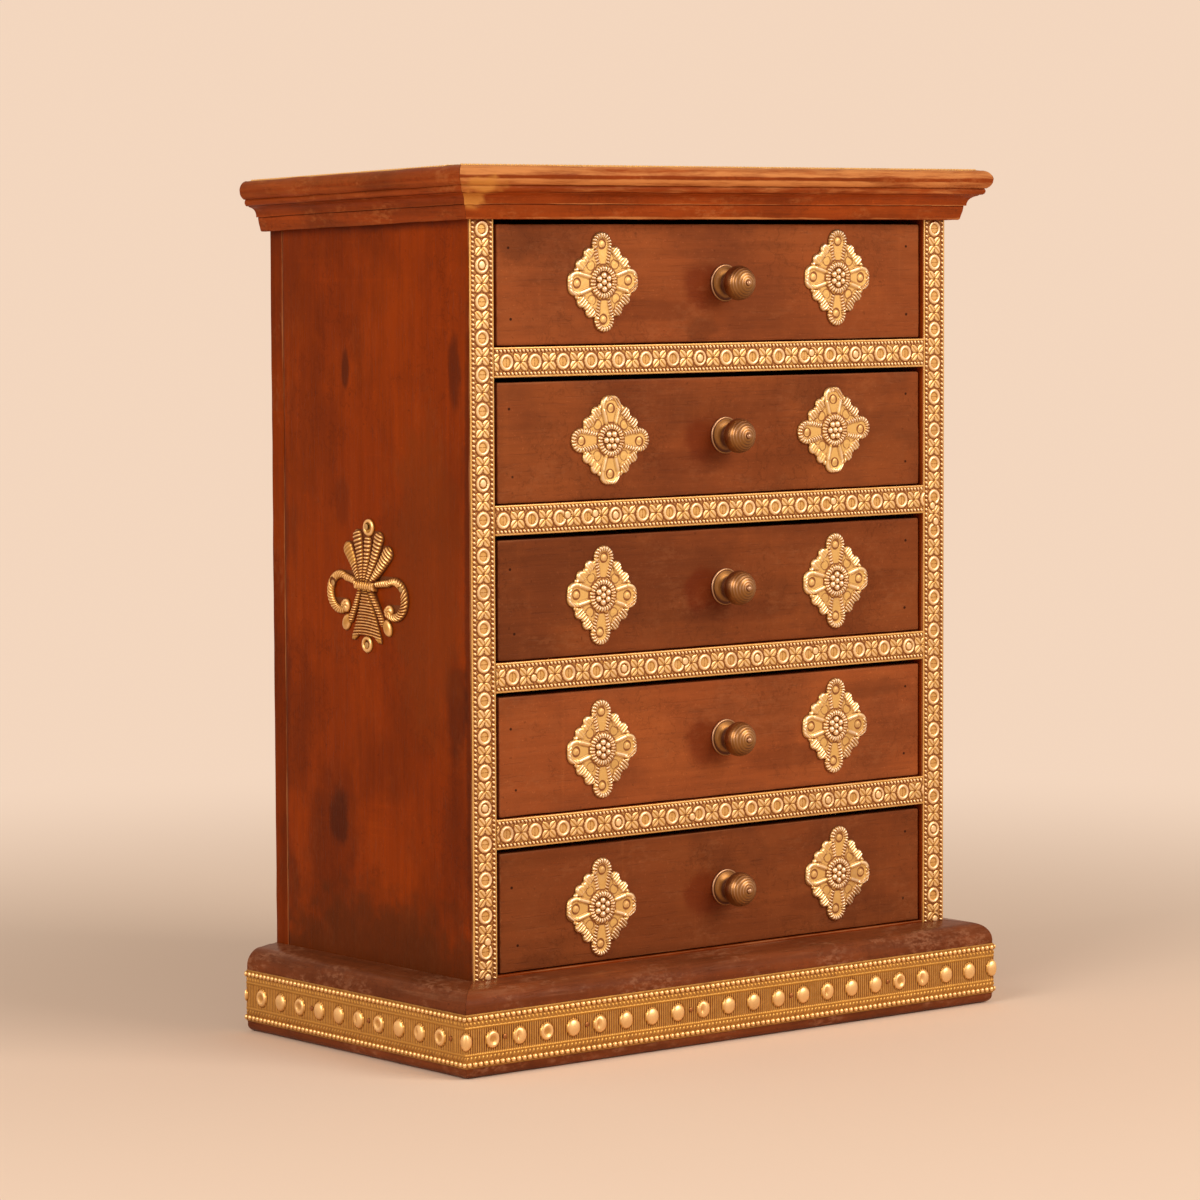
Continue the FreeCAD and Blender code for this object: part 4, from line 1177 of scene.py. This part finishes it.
class CHEST_OT_boards(bpy.types.Operator):
    """Carcass boards with worn edges"""
    bl_idname = "chest.boards"
    bl_label = "Carcass boards"

    def execute(self, context):
        sizes, colours = context.scene.chest_sizes, context.scene.chest_colours
        worn = sizes.edge_round / MM
        dark = (0.055, 0.009, 0.002)
        lower_shade_and_stain, faded = (0.085, 0.019, 0.003), (0.185, 0.034, 0.004)
        # Marks on the left side as (y, z, reach, colour, share). The band along the top at (0, 290) is a
        # painted shadow under the cornice; the wide patch low down at (4, 22) is painted shade towards the
        # bottom over a stain.
        marks = (
            (26, 79, (20, 8, 15), dark, 0.75), (30, 74, (20, 24, 34), dark, 0.30),
            (20, 236, (9, 3, 9), dark, 0.7), (23, 190, (9, 6, 12), dark, 0.30),
            (-42, 236, (20, 5, 17), dark, 0.6), (-42, 123, (20, 9, 26), dark, 0.62),
            (-42, 70, (20, 12, 40), dark, 0.3), (56, 52, (20, 9, 20), dark, 0.45),
            (4, 22, (60, 95, 48), lower_shade_and_stain, 0.75), (-26, 165, (20, 30, 75), faded, 0.55),
            (-50, 150, (20, 4, 160), dark, 0.6), (60, 150, (20, 7, 190), dark, 0.45),
            (0, 290, (20, 70, 8), dark, 0.5),
        )
        stains_and_shade = [((-HALF_WIDTH, y, z), reach, tone, share) for y, z, reach, tone, share in marks]
        side = wood("side_wood", colours.side_wood, 2, shift=0.3, figure=0.5, spots=stains_and_shade, dust=0.03)
        carcass = wood("carcass_wood", shade(colours.side_wood, 0.95), 0, shift=1.9, gloss=0.5)
        back = wood("back_wood", shade(colours.side_wood, 0.8), 2, shift=2.7, figure=0.9, gloss=0.5)
        for name, seed in (("left_side_panel", 11), ("right_side_panel", 12)):
            worn_board(name, side, worn, seed, 7.0, fit=under_top)
        worn_board("back_panel", back, worn * 0.6, 13, fit=under_top)
        for name, seed in (("floor_board", 15), *((f"divider_{k}", 15 + k) for k in range(1, 5))):
            worn_board(name, carcass, worn * 0.6, seed)
        low = (-HALF_WIDTH, FRONT_Y, CORNICE_FOOT + TOP_UNDER)
        high = (HALF_WIDTH, BACK_Y, CORNICE_FOOT + CORNICE_HEIGHT)
        mesh = board("top_board", low, high, worn * 0.6, 14, 9.0, fit=leaned)
        piece("top_board_worn", mesh, carcass, "carcass", ["top_board"])
        return {"FINISHED"}


class CHEST_OT_mouldings(bpy.types.Operator):
    """Mitred cornice and plinth"""
    bl_idname = "chest.mouldings"
    bl_label = "Cornice and plinth"

    def cornice_profile(self):
        """Nose, bead, cove and fascia, from the top down."""
        # A last value of 1 on a point is painted shade in the crease between nose, bead, cove and fascia
        foot, out = CORNICE_FOOT, CORNICE_HIGH[0] - HALF_WIDTH
        top = foot + CORNICE_HEIGHT
        nose = 3.3
        profile = [(0, top, 0, 0), (out - nose, top, 0.2, 0)]
        profile += arc((out - nose, top - nose), nose, 75, -62, 10, 0.95)
        nose_middle = 8
        profile[nose_middle] = (*profile[nose_middle][:2], 0.3, 0.0)
        profile += [(out - 2.2, foot + 11.1, 0.0, 1.0)]
        profile += arc((out - 3.35, foot + 10.0), 1.25, 42, -62, 5, 0.75)
        profile += [(out - 3.6, foot + 8.75, 0.0, 1.0), (out - 4.0, foot + 8.55, 0.85, 0.2)]
        for share in np.linspace(0.15, 1.0, 7):
            hollow = 0.85 * math.sin(math.pi * share)
            profile.append((out - 4.0 - 3.1 * share - 0.75 * hollow, foot + 8.55 - 3.5 * share + 0.6 * hollow,
                            0.95 if share > 0.99 else 0.1, 0.0))
        profile += [(4.85, foot + 4.95, 0.0, 1.0), (4.8, foot + 4.5, 0.35, 0.3), (4.6, foot + 3.0, 0.2, 0),
                    (4.1, foot + 1.4, 0.3, 0), (3.75, foot + 0.3, 0.95, 0), (3.5, foot, 0.7, 0.2),
                    (0, foot, 0, 1)]
        return profile

    def plinth_profile(self):
        """Foot, face and round shoulder, from the floor up."""
        # The last values of the foot's points are painted shade where the plinth meets the floor
        top, out = PLINTH_HIGH[2], PLINTH_HIGH[0] - HALF_WIDTH
        shoulder = top - 0.8
        profile = [(0, 0, 0, 0.3), (out - 2.8, 0, 0, 0.2)]
        profile += arc((out - 2.8, 2.8), 2.8, -70, 0, 5, 0.35)
        profile += line((out, 2.8), (out, shoulder - 6.3), 5)
        profile += arc((out - 6.3, shoulder - 6.3), 6.3, 12, 90, 8, 0.6)
        profile += [(3.0, top - 0.25, 0.1, 0), (1.2, top - 0.12, 0.5, 0.0), (0, top, 0.7, 0.0)]
        return profile

    def execute(self, context):
        colours = context.scene.chest_colours
        runs = mitred_runs(100, 48)
        bare_spot = [((-112.0, -59.0, 299.0), (14.0, 8.0, 4.0), 0.35),
                     ((-113.5, -56.5, 293.6), (9.0, 8.0, 4.6), 0.55)]
        rubbed = (0.66, 0.25, 0.075)
        wear = {"front": 1.55, "left": 0.12, "right": 0.7}
        for side, along in (("front", 0), ("left", 1), ("right", 1)):
            # One moulding in lit and shaded copies: the front made lighter as painted light, the sides darker
            # as painted shade
            lit_and_shaded_tone = shade(colours.cornice_wood, 1.12 if side == "front" else 0.92)
            cornice = wood(f"cornice_wood_{side}", lit_and_shaded_tone, along, shift=3.1 + along, worn=rubbed,
                           wear=wear[side], dust=0.2)
            # The plinth's front copy is made lighter: a painted sheen
            front_sheen_tone = shade(colours.plinth_wood, 1.1 if side == "front" else 1.0)
            dark = wood(f"plinth_wood_{side}", front_sheen_tone, along, shift=4.3 + along, figure=0.9, gloss=0.32,
                        worn=(0.38, 0.155, 0.075), wear=0.9, dust=0.5)
            chips = bare_spot if side == "front" else []
            mesh = sweep(f"cornice_{side}", self.cornice_profile(), runs[side], 31 + along, chips, leaned)
            piece(f"cornice_{side}_worn", mesh, cornice, "carcass", [f"cornice_{side}"])
            mesh = sweep(f"plinth_{side}", self.plinth_profile(), runs[side], 41 + along)
            piece(f"plinth_{side}_worn", mesh, dark, "carcass", [f"plinth_{side}"])
        return {"FINISHED"}


class CHEST_OT_drawers(bpy.types.Operator):
    """Drawer fronts and boxes"""
    bl_idname = "chest.drawers"
    bl_label = "Drawers"

    def execute(self, context):
        sizes, colours = context.scene.chest_sizes, context.scene.chest_colours
        worn = sizes.edge_round / MM
        box_sides = wood("box_side_wood", colours.inner_wood, 1, shift=5.2, figure=0.8, gloss=0.6)
        box_back = wood("box_back_wood", colours.inner_wood, 0, shift=6.4, figure=0.8, gloss=0.6)
        tone = {1: 0.92, 2: 0.80, 3: 0.70, 4: 1.02, 5: 0.67}
        dusk = (0.055, 0.014, 0.005)
        knots = {1: ((-6, -16, (10, 9, 6), 0.36), (20, 13, (26, 9, 2.2), 0.22), (-88, 14, (16, 9, 9), 0.26)),
                 4: ((70, 13, (30, 9, 5), 0.3),)}
        for k in DRAWERS:
            body = f"drawer_{k}"
            face, middle = drawer_middle(k)
            low, high = corners(f"{body}_front")
            # Dark patch at each knob's lower left: a painted shadow of the knob over a reddish stain
            knob_shadow_and_stain = ((-5, face, middle - 1), (13, 6, 11), (0.13, 0.016, 0.003), 0.62)
            streak = ((-58 + 23 * k, face, middle - 9), (34, 6, 6), (0.10, 0.020, 0.006), 0.34)
            nails = ((-91 + 0.4 * k, -11.5), (-91.5, 13.5 - k), (91.5 - 0.3 * k, -12.0), (91, 12.5))
            holes = [((x, face, middle + z), (0.8, 3, 0.7), (0.02, 0.004, 0.001), 0.9) for x, z in nails]
            marks = [((x, FRONT_Y, middle + up), reach, dusk, share)
                     for x, up, reach, share in knots.get(k, ())]
            finish = wood(f"drawer_wood_{k}", shade(colours.front_wood, tone[k]), 0, shift=7.0 + 1.37 * k,
                          figure=0.42, gloss=0.40, worn=(0.46, 0.17, 0.065), wear=0.7,
                          spots=(knob_shadow_and_stain, streak, *marks, *holes))
            mesh = board(f"{body}_front", low + (0.6, 0, 0), high + (0.4, 0, 0), worn, 60 + k, 5.0)
            piece(f"{body}_front_worn", mesh, finish, body, [f"{body}_front"])
            low, high = corners(f"{body}_sides")
            thick = 6.0
            left = board(f"{body}_sides", low, (low[0] + thick, high[1], high[2]), 0.5, 70 + k, 9.0)
            right = board(f"{body}_side", (high[0] - thick, low[1], low[2]), high, 0.5, 80 + k, 9.0)
            mesh = joined([left, right])
            piece(f"{body}_sides_worn", mesh, box_sides, body, [f"{body}_sides"])
            for part in ("back", "bottom"):
                worn_board(f"{body}_{part}", box_back, 0.35, 90 + k, body=body)
        return {"FINISHED"}


class CHEST_OT_strips(bpy.types.Operator):
    """Embossed brass strips on the front edges and round the top"""
    bl_idname = "chest.strips"
    bl_label = "Embossed strips"

    def execute(self, context):
        sizes, colours = context.scene.chest_sizes, context.scene.chest_colours
        pitch, ring = sizes.ring_pitch / MM, sizes.ring_radius / MM
        low, high = corners("stile_strip_left")
        width = high[0] - low[0]
        kinds = ((), ((0.1, 0.0, 1.35),), ((3.3, 0.9, 1.3),), ((-3.1, -0.8, 1.25),))
        tiles = tile_set("strip_tile", lambda u, v, pins: strip_relief(u, v, pitch, ring, pins), kinds,
                         (pitch, width), (57, 47))
        beads = (add_bead(tiles, (0.56, 0.74, 0.62), -0.35), STRIP_ROPE, 0.14, pitch / 7.5)
        finish = metal("strip_brass", colours.strip_brass)
        tree = tile_tree()

        def variants(seed):
            """Plain tile, or one of the three with a pin, for each place in a row."""
            draw = np.random.default_rng(seed).integers(0, 100, 64)

            def pick(k):
                value = draw[k % len(draw)]
                return int(value < 10) or 2 * int(value > 91) or 3 * int(85 < value < 89)

            return pick

        def strip(name, node, start, end, phase, seed, lay):
            """One strip, cut from a row of tiles and laid in place."""
            mesh = tile_row(name, tree, tiles, finish, pitch, start, end, phase, variants(seed), lay, beads)
            piece(f"{name}_embossed", mesh, finish, "carcass", [node])

        for side, seed in (("left", 3), ("right", 4)):
            name = f"stile_strip_{side}"
            low, high = corners(name)
            across = centre(name)[0]
            strip(name, name, low[2], high[2], high[2] - 3.2, seed,
                  lambda p: np.stack([across + p[:, 1], FRONT_Y - p[:, 2], p[:, 0]], 1))
        low, high = corners("rail_strips")
        for k, phase in zip(range(1, 5), (5.1, 3.4, 7.0, 4.2)):
            middle = corners(f"divider_{k}")[0][2] + 0.1 + width / 2
            strip(f"rail_strip_{k}", "rail_strips", low[0], high[0], low[0] + phase, 10 + k,
                  lambda p: np.stack([p[:, 0], FRONT_Y - p[:, 2], middle + p[:, 1]], 1))
        outer = corners("top_strips")[1][0]
        front, level = FRONT_Y - (outer - HALF_WIDTH), CORNICE_FOOT + CORNICE_HEIGHT
        strip("top_strip_front", "top_strips", -outer, outer, 0.0, 21, lambda p: leaned(
            np.stack([p[:, 0], front + width / 2 + p[:, 1], level + p[:, 2]], 1)))
        for side, sign, seed in (("left", -1, 22), ("right", 1, 23)):
            across = sign * (outer - width / 2)
            strip(f"top_strip_{side}", "top_strips", front + width + 0.1, BACK_Y, 0.0, seed, lambda p: leaned(
                np.stack([across - p[:, 1], p[:, 0], level + p[:, 2]], 1)))
        return {"FINISHED"}


class CHEST_OT_plinth_strip(bpy.types.Operator):
    """Domed brass strip bent round the plinth"""
    bl_idname = "chest.plinth_strip"
    bl_label = "Plinth strip"

    def execute(self, context):
        sizes, colours = context.scene.chest_sizes, context.scene.chest_colours
        pitch, half = sizes.dome_pitch / MM, sizes.dome_width / MM
        low, high = corners("plinth_strip")
        width, middle = high[2] - low[2], (low[2] + high[2]) / 2
        tiles = tile_set("plinth_tile", lambda u, v, kind: plinth_relief(u, v, pitch, half, kind), range(3),
                         (pitch, width), (61, 63))
        beads = (add_bead(tiles, (1.12, 1.05, 0.95), 0.0), PLINTH_BEADS, 0.2, pitch / 5)
        finish = metal("plinth_brass", colours.plinth_brass, age=0.86)
        tree = tile_tree()
        reach, front = PLINTH_HIGH[0], PLINTH_LOW[1]
        side_run, bend = high[1] - front, 1.3
        proud, dome_top = 1.6, 1.46
        first_bend = side_run + bend / 2
        second_bend = first_bend + bend + 2 * reach

        def lay(p):
            run, up, out = p[:, 0], middle + p[:, 1], p[:, 2] * (proud / dome_top)
            turn = np.radians(90 * (np.clip((run - side_run) / bend, 0, 1) +
                                    np.clip((run - side_run - bend - 2 * reach) / bend, 0, 1)))
            x = -reach + np.clip(run - side_run - bend, 0, 2 * reach)
            back = np.clip(run - side_run - 2 * bend - 2 * reach, 0, side_run)
            y = high[1] - np.clip(run, 0, side_run) + back
            return np.stack([x - np.cos(turn) * out, y - np.sin(turn) * out, up], 1)

        dents = {-11: 1, -10: 1, -8: 1, -5: 2, -4: 1, -2: 2, -1: 1, 1: 1, 2: 2, 3: 1, 5: 2, 9: 2, 14: 2,
                 17: 1, 18: 2, 24: 1, 27: 2}
        slack, corner = 2.6, pitch / 2
        spans = (("left", 0.0, first_bend - corner, first_bend - slack),
                 ("front", first_bend - corner, second_bend, first_bend),
                 ("right", second_bend, 2 * side_run + 2 * bend + 2 * reach, first_bend))
        for side, start, end, phase in spans:
            mesh = tile_row(f"plinth_strip_{side}", tree, tiles, finish, pitch, start, end, phase,
                            lambda k: dents.get(k, 0), lay, beads)
            piece(f"plinth_strip_{side}_domed", mesh, finish, "carcass", ["plinth_strip"])
        pin = bpy.data.objects.new("plinth_pin", pin_mesh(0.95, 0.4, 4.0))
        pinned = (-7.6, -4.72, -0.72, 1.45, 4.5, 8.5, 12.5, 16.5)
        places = np.array([(first_bend + k * pitch, 0.4, 0.42) for k in pinned])
        ways = lay(places) - lay(places - (0, 0, 1))
        ways /= np.linalg.norm(ways, axis=1, keepdims=True)
        spots = list(zip(map(tuple, lay(places)), map(tuple, ways)))
        copper = metal("pin_copper", (0.42, 0.17, 0.06), age=0.7, roughness=0.45)
        mesh = pins_at("plinth_strip_pins", pin_tree(), pin, copper, spots, 11)
        piece("plinth_strip_pins_set", mesh, copper, "carcass", [])
        return {"FINISHED"}


class CHEST_OT_mounts(bpy.types.Operator):
    """Cast lozenges on the drawers and plumes on the sides"""
    bl_idname = "chest.mounts"
    bl_label = "Cast mounts"

    def execute(self, context):
        colours = context.scene.chest_colours
        gold = metal("mount_brass", colours.mount_brass, age=1.14)
        bronze = metal("plume_bronze", colours.plume_bronze, age=0.79)
        for k in DRAWERS:
            body = f"drawer_{k}"
            face, _ = drawer_middle(k)
            pair = [relief_mesh(f"{body}_mounts", lozenge_field, (16.0, 17.6), 0.2,
                                lambda p: on_front(p, x, z, face, turn)) for x, z, turn in mount_places(k)]
            piece(f"{body}_mounts_cast", joined(pair), gold, body, [f"{body}_mounts"])
        _, across, up = centre("side_mounts")
        pair = [relief_mesh("side_mounts", plume_field, (24.4, 24.6), 0.17, lambda p: on_side(
            p, sign, across, up, -2.0)) for sign in (-1, 1)]
        piece("side_mounts_cast", joined(pair), bronze, "carcass", ["side_mounts"])
        return {"FINISHED"}


class CHEST_OT_knobs(bpy.types.Operator):
    """Turned brass knobs"""
    bl_idname = "chest.knobs"
    bl_label = "Knobs"

    def profile(self, radius):
        """(radius, out, ridge) from the stud's end to the tip."""
        # The ridge column is lowest at the neck and falls on the back of the head towards it: painted shade
        # between head and flange
        shape = [(0.0, -7.5, 0.2), (1.6, -7.5, 0.2), (1.6, 0.0, 0.2), (6.35, 0.0, 0.3), (6.5, 0.2, 0.9),
                 (6.5, 0.62, 1.0), (6.28, 0.86, 0.9), (6.0, 0.9, 0.3), (5.75, 0.86, 0.1), (5.5, 1.02, 0.35),
                 (4.9, 1.5, 0.6), (4.2, 1.95, 0.5), (3.6, 2.25, 0.2), (3.2, 2.5, 0.05), (3.05, 2.8, 0.0),
                 (3.05, 3.7, 0.0), (3.2, 4.0, 0.0)]
        middle, back, front = 7.6, (4.1, 0.0), (5.35, 0.95)
        for angle in np.radians(np.linspace(-55, 90, 78)):
            half, tip = front if angle > 0 else back
            rise = math.sin(angle)
            groove = 0.024 * np.clip((max(rise, 0.0) - 0.25) * 4, 0, 1) * math.cos(30 * angle)
            shape.append(((radius - tip) * math.cos(angle) + tip + groove, middle + half * rise + groove,
                          0.60 + 6.0 * groove - 0.5 * max(-rise - 0.2, 0)))
        shape += [(1.0, 13.15, 0.7), (0.85, 13.45, 0.9), (0.5, 13.72, 1.0), (0.0, 13.8, 1.0)]
        return shape

    def execute(self, context):
        sizes, colours = context.scene.chest_sizes, context.scene.chest_colours
        finish = metal("knob_bronze", colours.knob_bronze, age=0.85, pitted=0.03)
        radii, levels, ridge = np.array(self.profile(sizes.knob_radius / MM)).T
        turns = full_turn(sizes.knob_turns)
        points, faces = spun(radii, levels, turns)
        # Ridge lowered on each knob's underside: painted shade below the knob
        shaded_underside = ridge[:, None] - 0.30 * np.clip(-np.sin(turns), 0, 1)
        for k in DRAWERS:
            face, middle = drawer_middle(k)
            place = on_front(points, centre(f"drawer_{k}_knob")[0], middle, face)
            mesh = outward(plain_mesh(f"drawer_{k}_knob", place, faces, {"ridge": shaded_underside.ravel()}, 50))
            piece(f"drawer_{k}_knob_turned", mesh, finish, f"drawer_{k}", [f"drawer_{k}_knob"])
        return {"FINISHED"}


class CHEST_OT_pins(bpy.types.Operator):
    """Pins of the mounts and nails of the cornice"""
    bl_idname = "chest.pins"
    bl_label = "Pins and nails"

    def execute(self, context):
        colours = context.scene.chest_colours
        brass = metal("pin_brass", colours.pin_brass, age=0.95, roughness=0.46)
        iron = metal("nail_iron", (0.10, 0.055, 0.035), age=0.7, roughness=0.5)
        tree = pin_tree()
        small = bpy.data.objects.new("pin", pin_mesh(1.25, 0.27, 5.0))
        dark = bpy.data.objects.new("nail", pin_mesh(0.85, 0.35, 8.0))
        for k in DRAWERS:
            face, _ = drawer_middle(k)
            spots = []
            for x, z, turn in mount_places(k):
                flat = np.array([(a, b, 0.6) for a, b in MOUNT_PINS])
                spots += [(tuple(point), (0, -1, 0)) for point in on_front(flat, x, z, face, turn)]
            mesh = pins_at(f"drawer_{k}_pins", tree, small, brass, spots, k)
            piece(f"drawer_{k}_pins_set", mesh, brass, f"drawer_{k}", [f"drawer_{k}_pins"])
        _, across, up = centre("side_mounts")
        spots = [((sign * (HALF_WIDTH + 0.95), across + a, up + b), (sign, 0, 0)) for sign in (-1, 1)
                 for a, b in PLUME_ARM_PINS + PLUME_RING_PINS]
        bronze = metal("pin_bronze", shade(colours.plume_bronze, 0.62), age=0.8, roughness=0.46)
        mesh = pins_at("side_mount_pins", tree, small, bronze, spots, 7)
        piece("side_mount_pins_set", mesh, bronze, "carcass", ["side_mount_pins"])
        low, high = corners("cornice_nails")
        up = high[2] - 0.9
        spots = [((x, low[1] + 0.42, up), (0, -1, 0)) for x in np.linspace(low[0] + 0.9, high[0] - 0.9, 5)]
        mesh = pins_at("cornice_nails", tree, dark, iron, spots, 8)
        piece("cornice_nails_set", mesh, iron, "carcass", ["cornice_nails"])
        return {"FINISHED"}


class CHEST_OT_stage(bpy.types.Operator):
    """Plain floor, soft lights and the camera"""
    bl_idname = "chest.stage"
    bl_label = "Stage"

    def floor_finish(self, colour):
        """Lit near the chest, blending into the plain background further out."""
        f = Finish(bpy.data.materials.new("floor"))
        lit = f.node("ShaderNodeBsdfDiffuse", {}, {"Color": (*colour, 1.0)})
        glow = f.node("ShaderNodeEmission", {}, {"Color": (*colour, 1.0), "Strength": 1.0})
        away = f.node("ShaderNodeVectorMath", {"operation": "LENGTH"}, {0: f.place()}, output="Value")
        share = f.step(away, 0.20, 0.80) * f.background()
        shader = f.node("ShaderNodeMixShader", {}, {0: share, 1: lit, 2: glow})
        f.node("ShaderNodeOutputMaterial", {}, {"Surface": shader})
        return f.owner

    def world(self, colour, ambient):
        """Even light all round, seen as the plain background."""
        f = Finish(bpy.data.worlds.new("studio"))
        even = f.node("ShaderNodeBackground", {}, {"Color": (1.0, 0.93, 0.86, 1.0), "Strength": ambient})
        pale = f.node("ShaderNodeBackground", {}, {"Color": (*colour, 1.0), "Strength": 1.0})
        shader = f.node("ShaderNodeMixShader", {}, {0: f.background(), 1: even, 2: pale})
        f.node("ShaderNodeOutputWorld", {}, {"Surface": shader})
        return f.owner

    def lamp(self, name, place, aim, width, height, watts, colour):
        """Large soft light at a place, turned to its aim."""
        data = bpy.data.lights.new(name, "AREA")
        data.shape = "RECTANGLE"
        data.size, data.size_y, data.energy, data.color = width, height, watts, colour
        made = bpy.data.objects.new(name, data)
        made.location = place
        made.rotation_euler = (Vector(aim) - Vector(place)).to_track_quat("-Z", "Y").to_euler()
        bpy.context.scene.collection.objects.link(made)

    def execute(self, context):
        scene, stage, colours = context.scene, context.scene.chest_stage, context.scene.chest_colours
        around, radius = 96, 9.0 / MM
        rim = [(radius * math.cos(turn), radius * math.sin(turn), 0) for turn in full_turn(around)]
        faces = [(0, k + 1, (k + 1) % around + 1) for k in range(around)]
        floor = bpy.data.objects.new("floor", plain_mesh("floor", [(0, 0, 0), *rim], faces))
        floor.data.materials.append(self.floor_finish(tuple(colours.floor)))
        scene.collection.objects.link(floor)

        scene.world = self.world(tuple(colours.floor), stage.ambient)
        middle = (0, 0, 0.16)
        self.lamp("right_light", (0.55, -1.35, 0.95), middle, 0.9, 0.9, stage.key_watts, (1.0, 0.95, 0.88))
        self.lamp("left_light", (-1.42, -0.3, 0.9), middle, 0.9, 0.9, stage.fill_watts, (1.0, 0.95, 0.88))

        a, e = stage.azimuth, stage.elevation
        back = Vector((math.sin(a) * math.cos(e), -math.cos(a) * math.cos(e), math.sin(e)))
        right = Vector((math.cos(a), math.sin(a), 0))
        up = back.cross(right)
        right, up = turned(right, up, -stage.roll)
        data = bpy.data.cameras.new("camera")
        data.sensor_width, data.lens = 36.0, stage.focal
        data.clip_start, data.clip_end = 0.05, 50.0
        camera = bpy.data.objects.new("camera", data)
        aim, shift_right, shift_up = Vector((0, 0, 0.1525)), 0.009438, 0.001149
        spot = aim + back * stage.distance - right * shift_right - up * shift_up
        camera.matrix_world = Matrix((right, up, back)).transposed().to_4x4()
        camera.location = spot
        scene.collection.objects.link(camera)
        scene.camera = camera
        scene.view_settings.view_transform = "Standard"
        return {"FINISHED"}


class CHEST_PT_panel(bpy.types.Panel):
    """Sizes, colours and steps of the chest"""
    bl_idname = "CHEST_PT_panel"
    bl_label = "Drawer chest"
    bl_space_type = "VIEW_3D"
    bl_region_type = "UI"
    bl_category = "Chest"

    def draw(self, context):
        for group in (context.scene.chest_sizes, context.scene.chest_colours, context.scene.chest_stage):
            column = self.layout.column()
            for key in group.__annotations__:
                column.prop(group, key)
        for step in OPERATORS:
            self.layout.operator(step.bl_idname)


GROUPS = {"chest_sizes": ChestSizes, "chest_colours": ChestColours, "chest_stage": ChestStage}
OPERATORS = (CHEST_OT_boards, CHEST_OT_mouldings, CHEST_OT_drawers, CHEST_OT_strips, CHEST_OT_plinth_strip,
             CHEST_OT_mounts, CHEST_OT_knobs, CHEST_OT_pins, CHEST_OT_stage)


def register():
    for made in (*GROUPS.values(), *OPERATORS, CHEST_PT_panel):
        bpy.utils.register_class(made)
    for key, group in GROUPS.items():
        setattr(bpy.types.Scene, key, PointerProperty(type=group))


def unregister():
    for key in GROUPS:
        delattr(bpy.types.Scene, key)
    for made in (CHEST_PT_panel, *reversed(OPERATORS), *GROUPS.values()):
        bpy.utils.unregister_class(made)


def main():
    register()
    bpy.ops.chest.boards()
    bpy.ops.chest.mouldings()
    bpy.ops.chest.drawers()
    bpy.ops.chest.strips()
    bpy.ops.chest.plinth_strip()
    bpy.ops.chest.mounts()
    bpy.ops.chest.knobs()
    bpy.ops.chest.pins()
    bpy.ops.chest.stage()


if __name__ == "__main__":
    main()
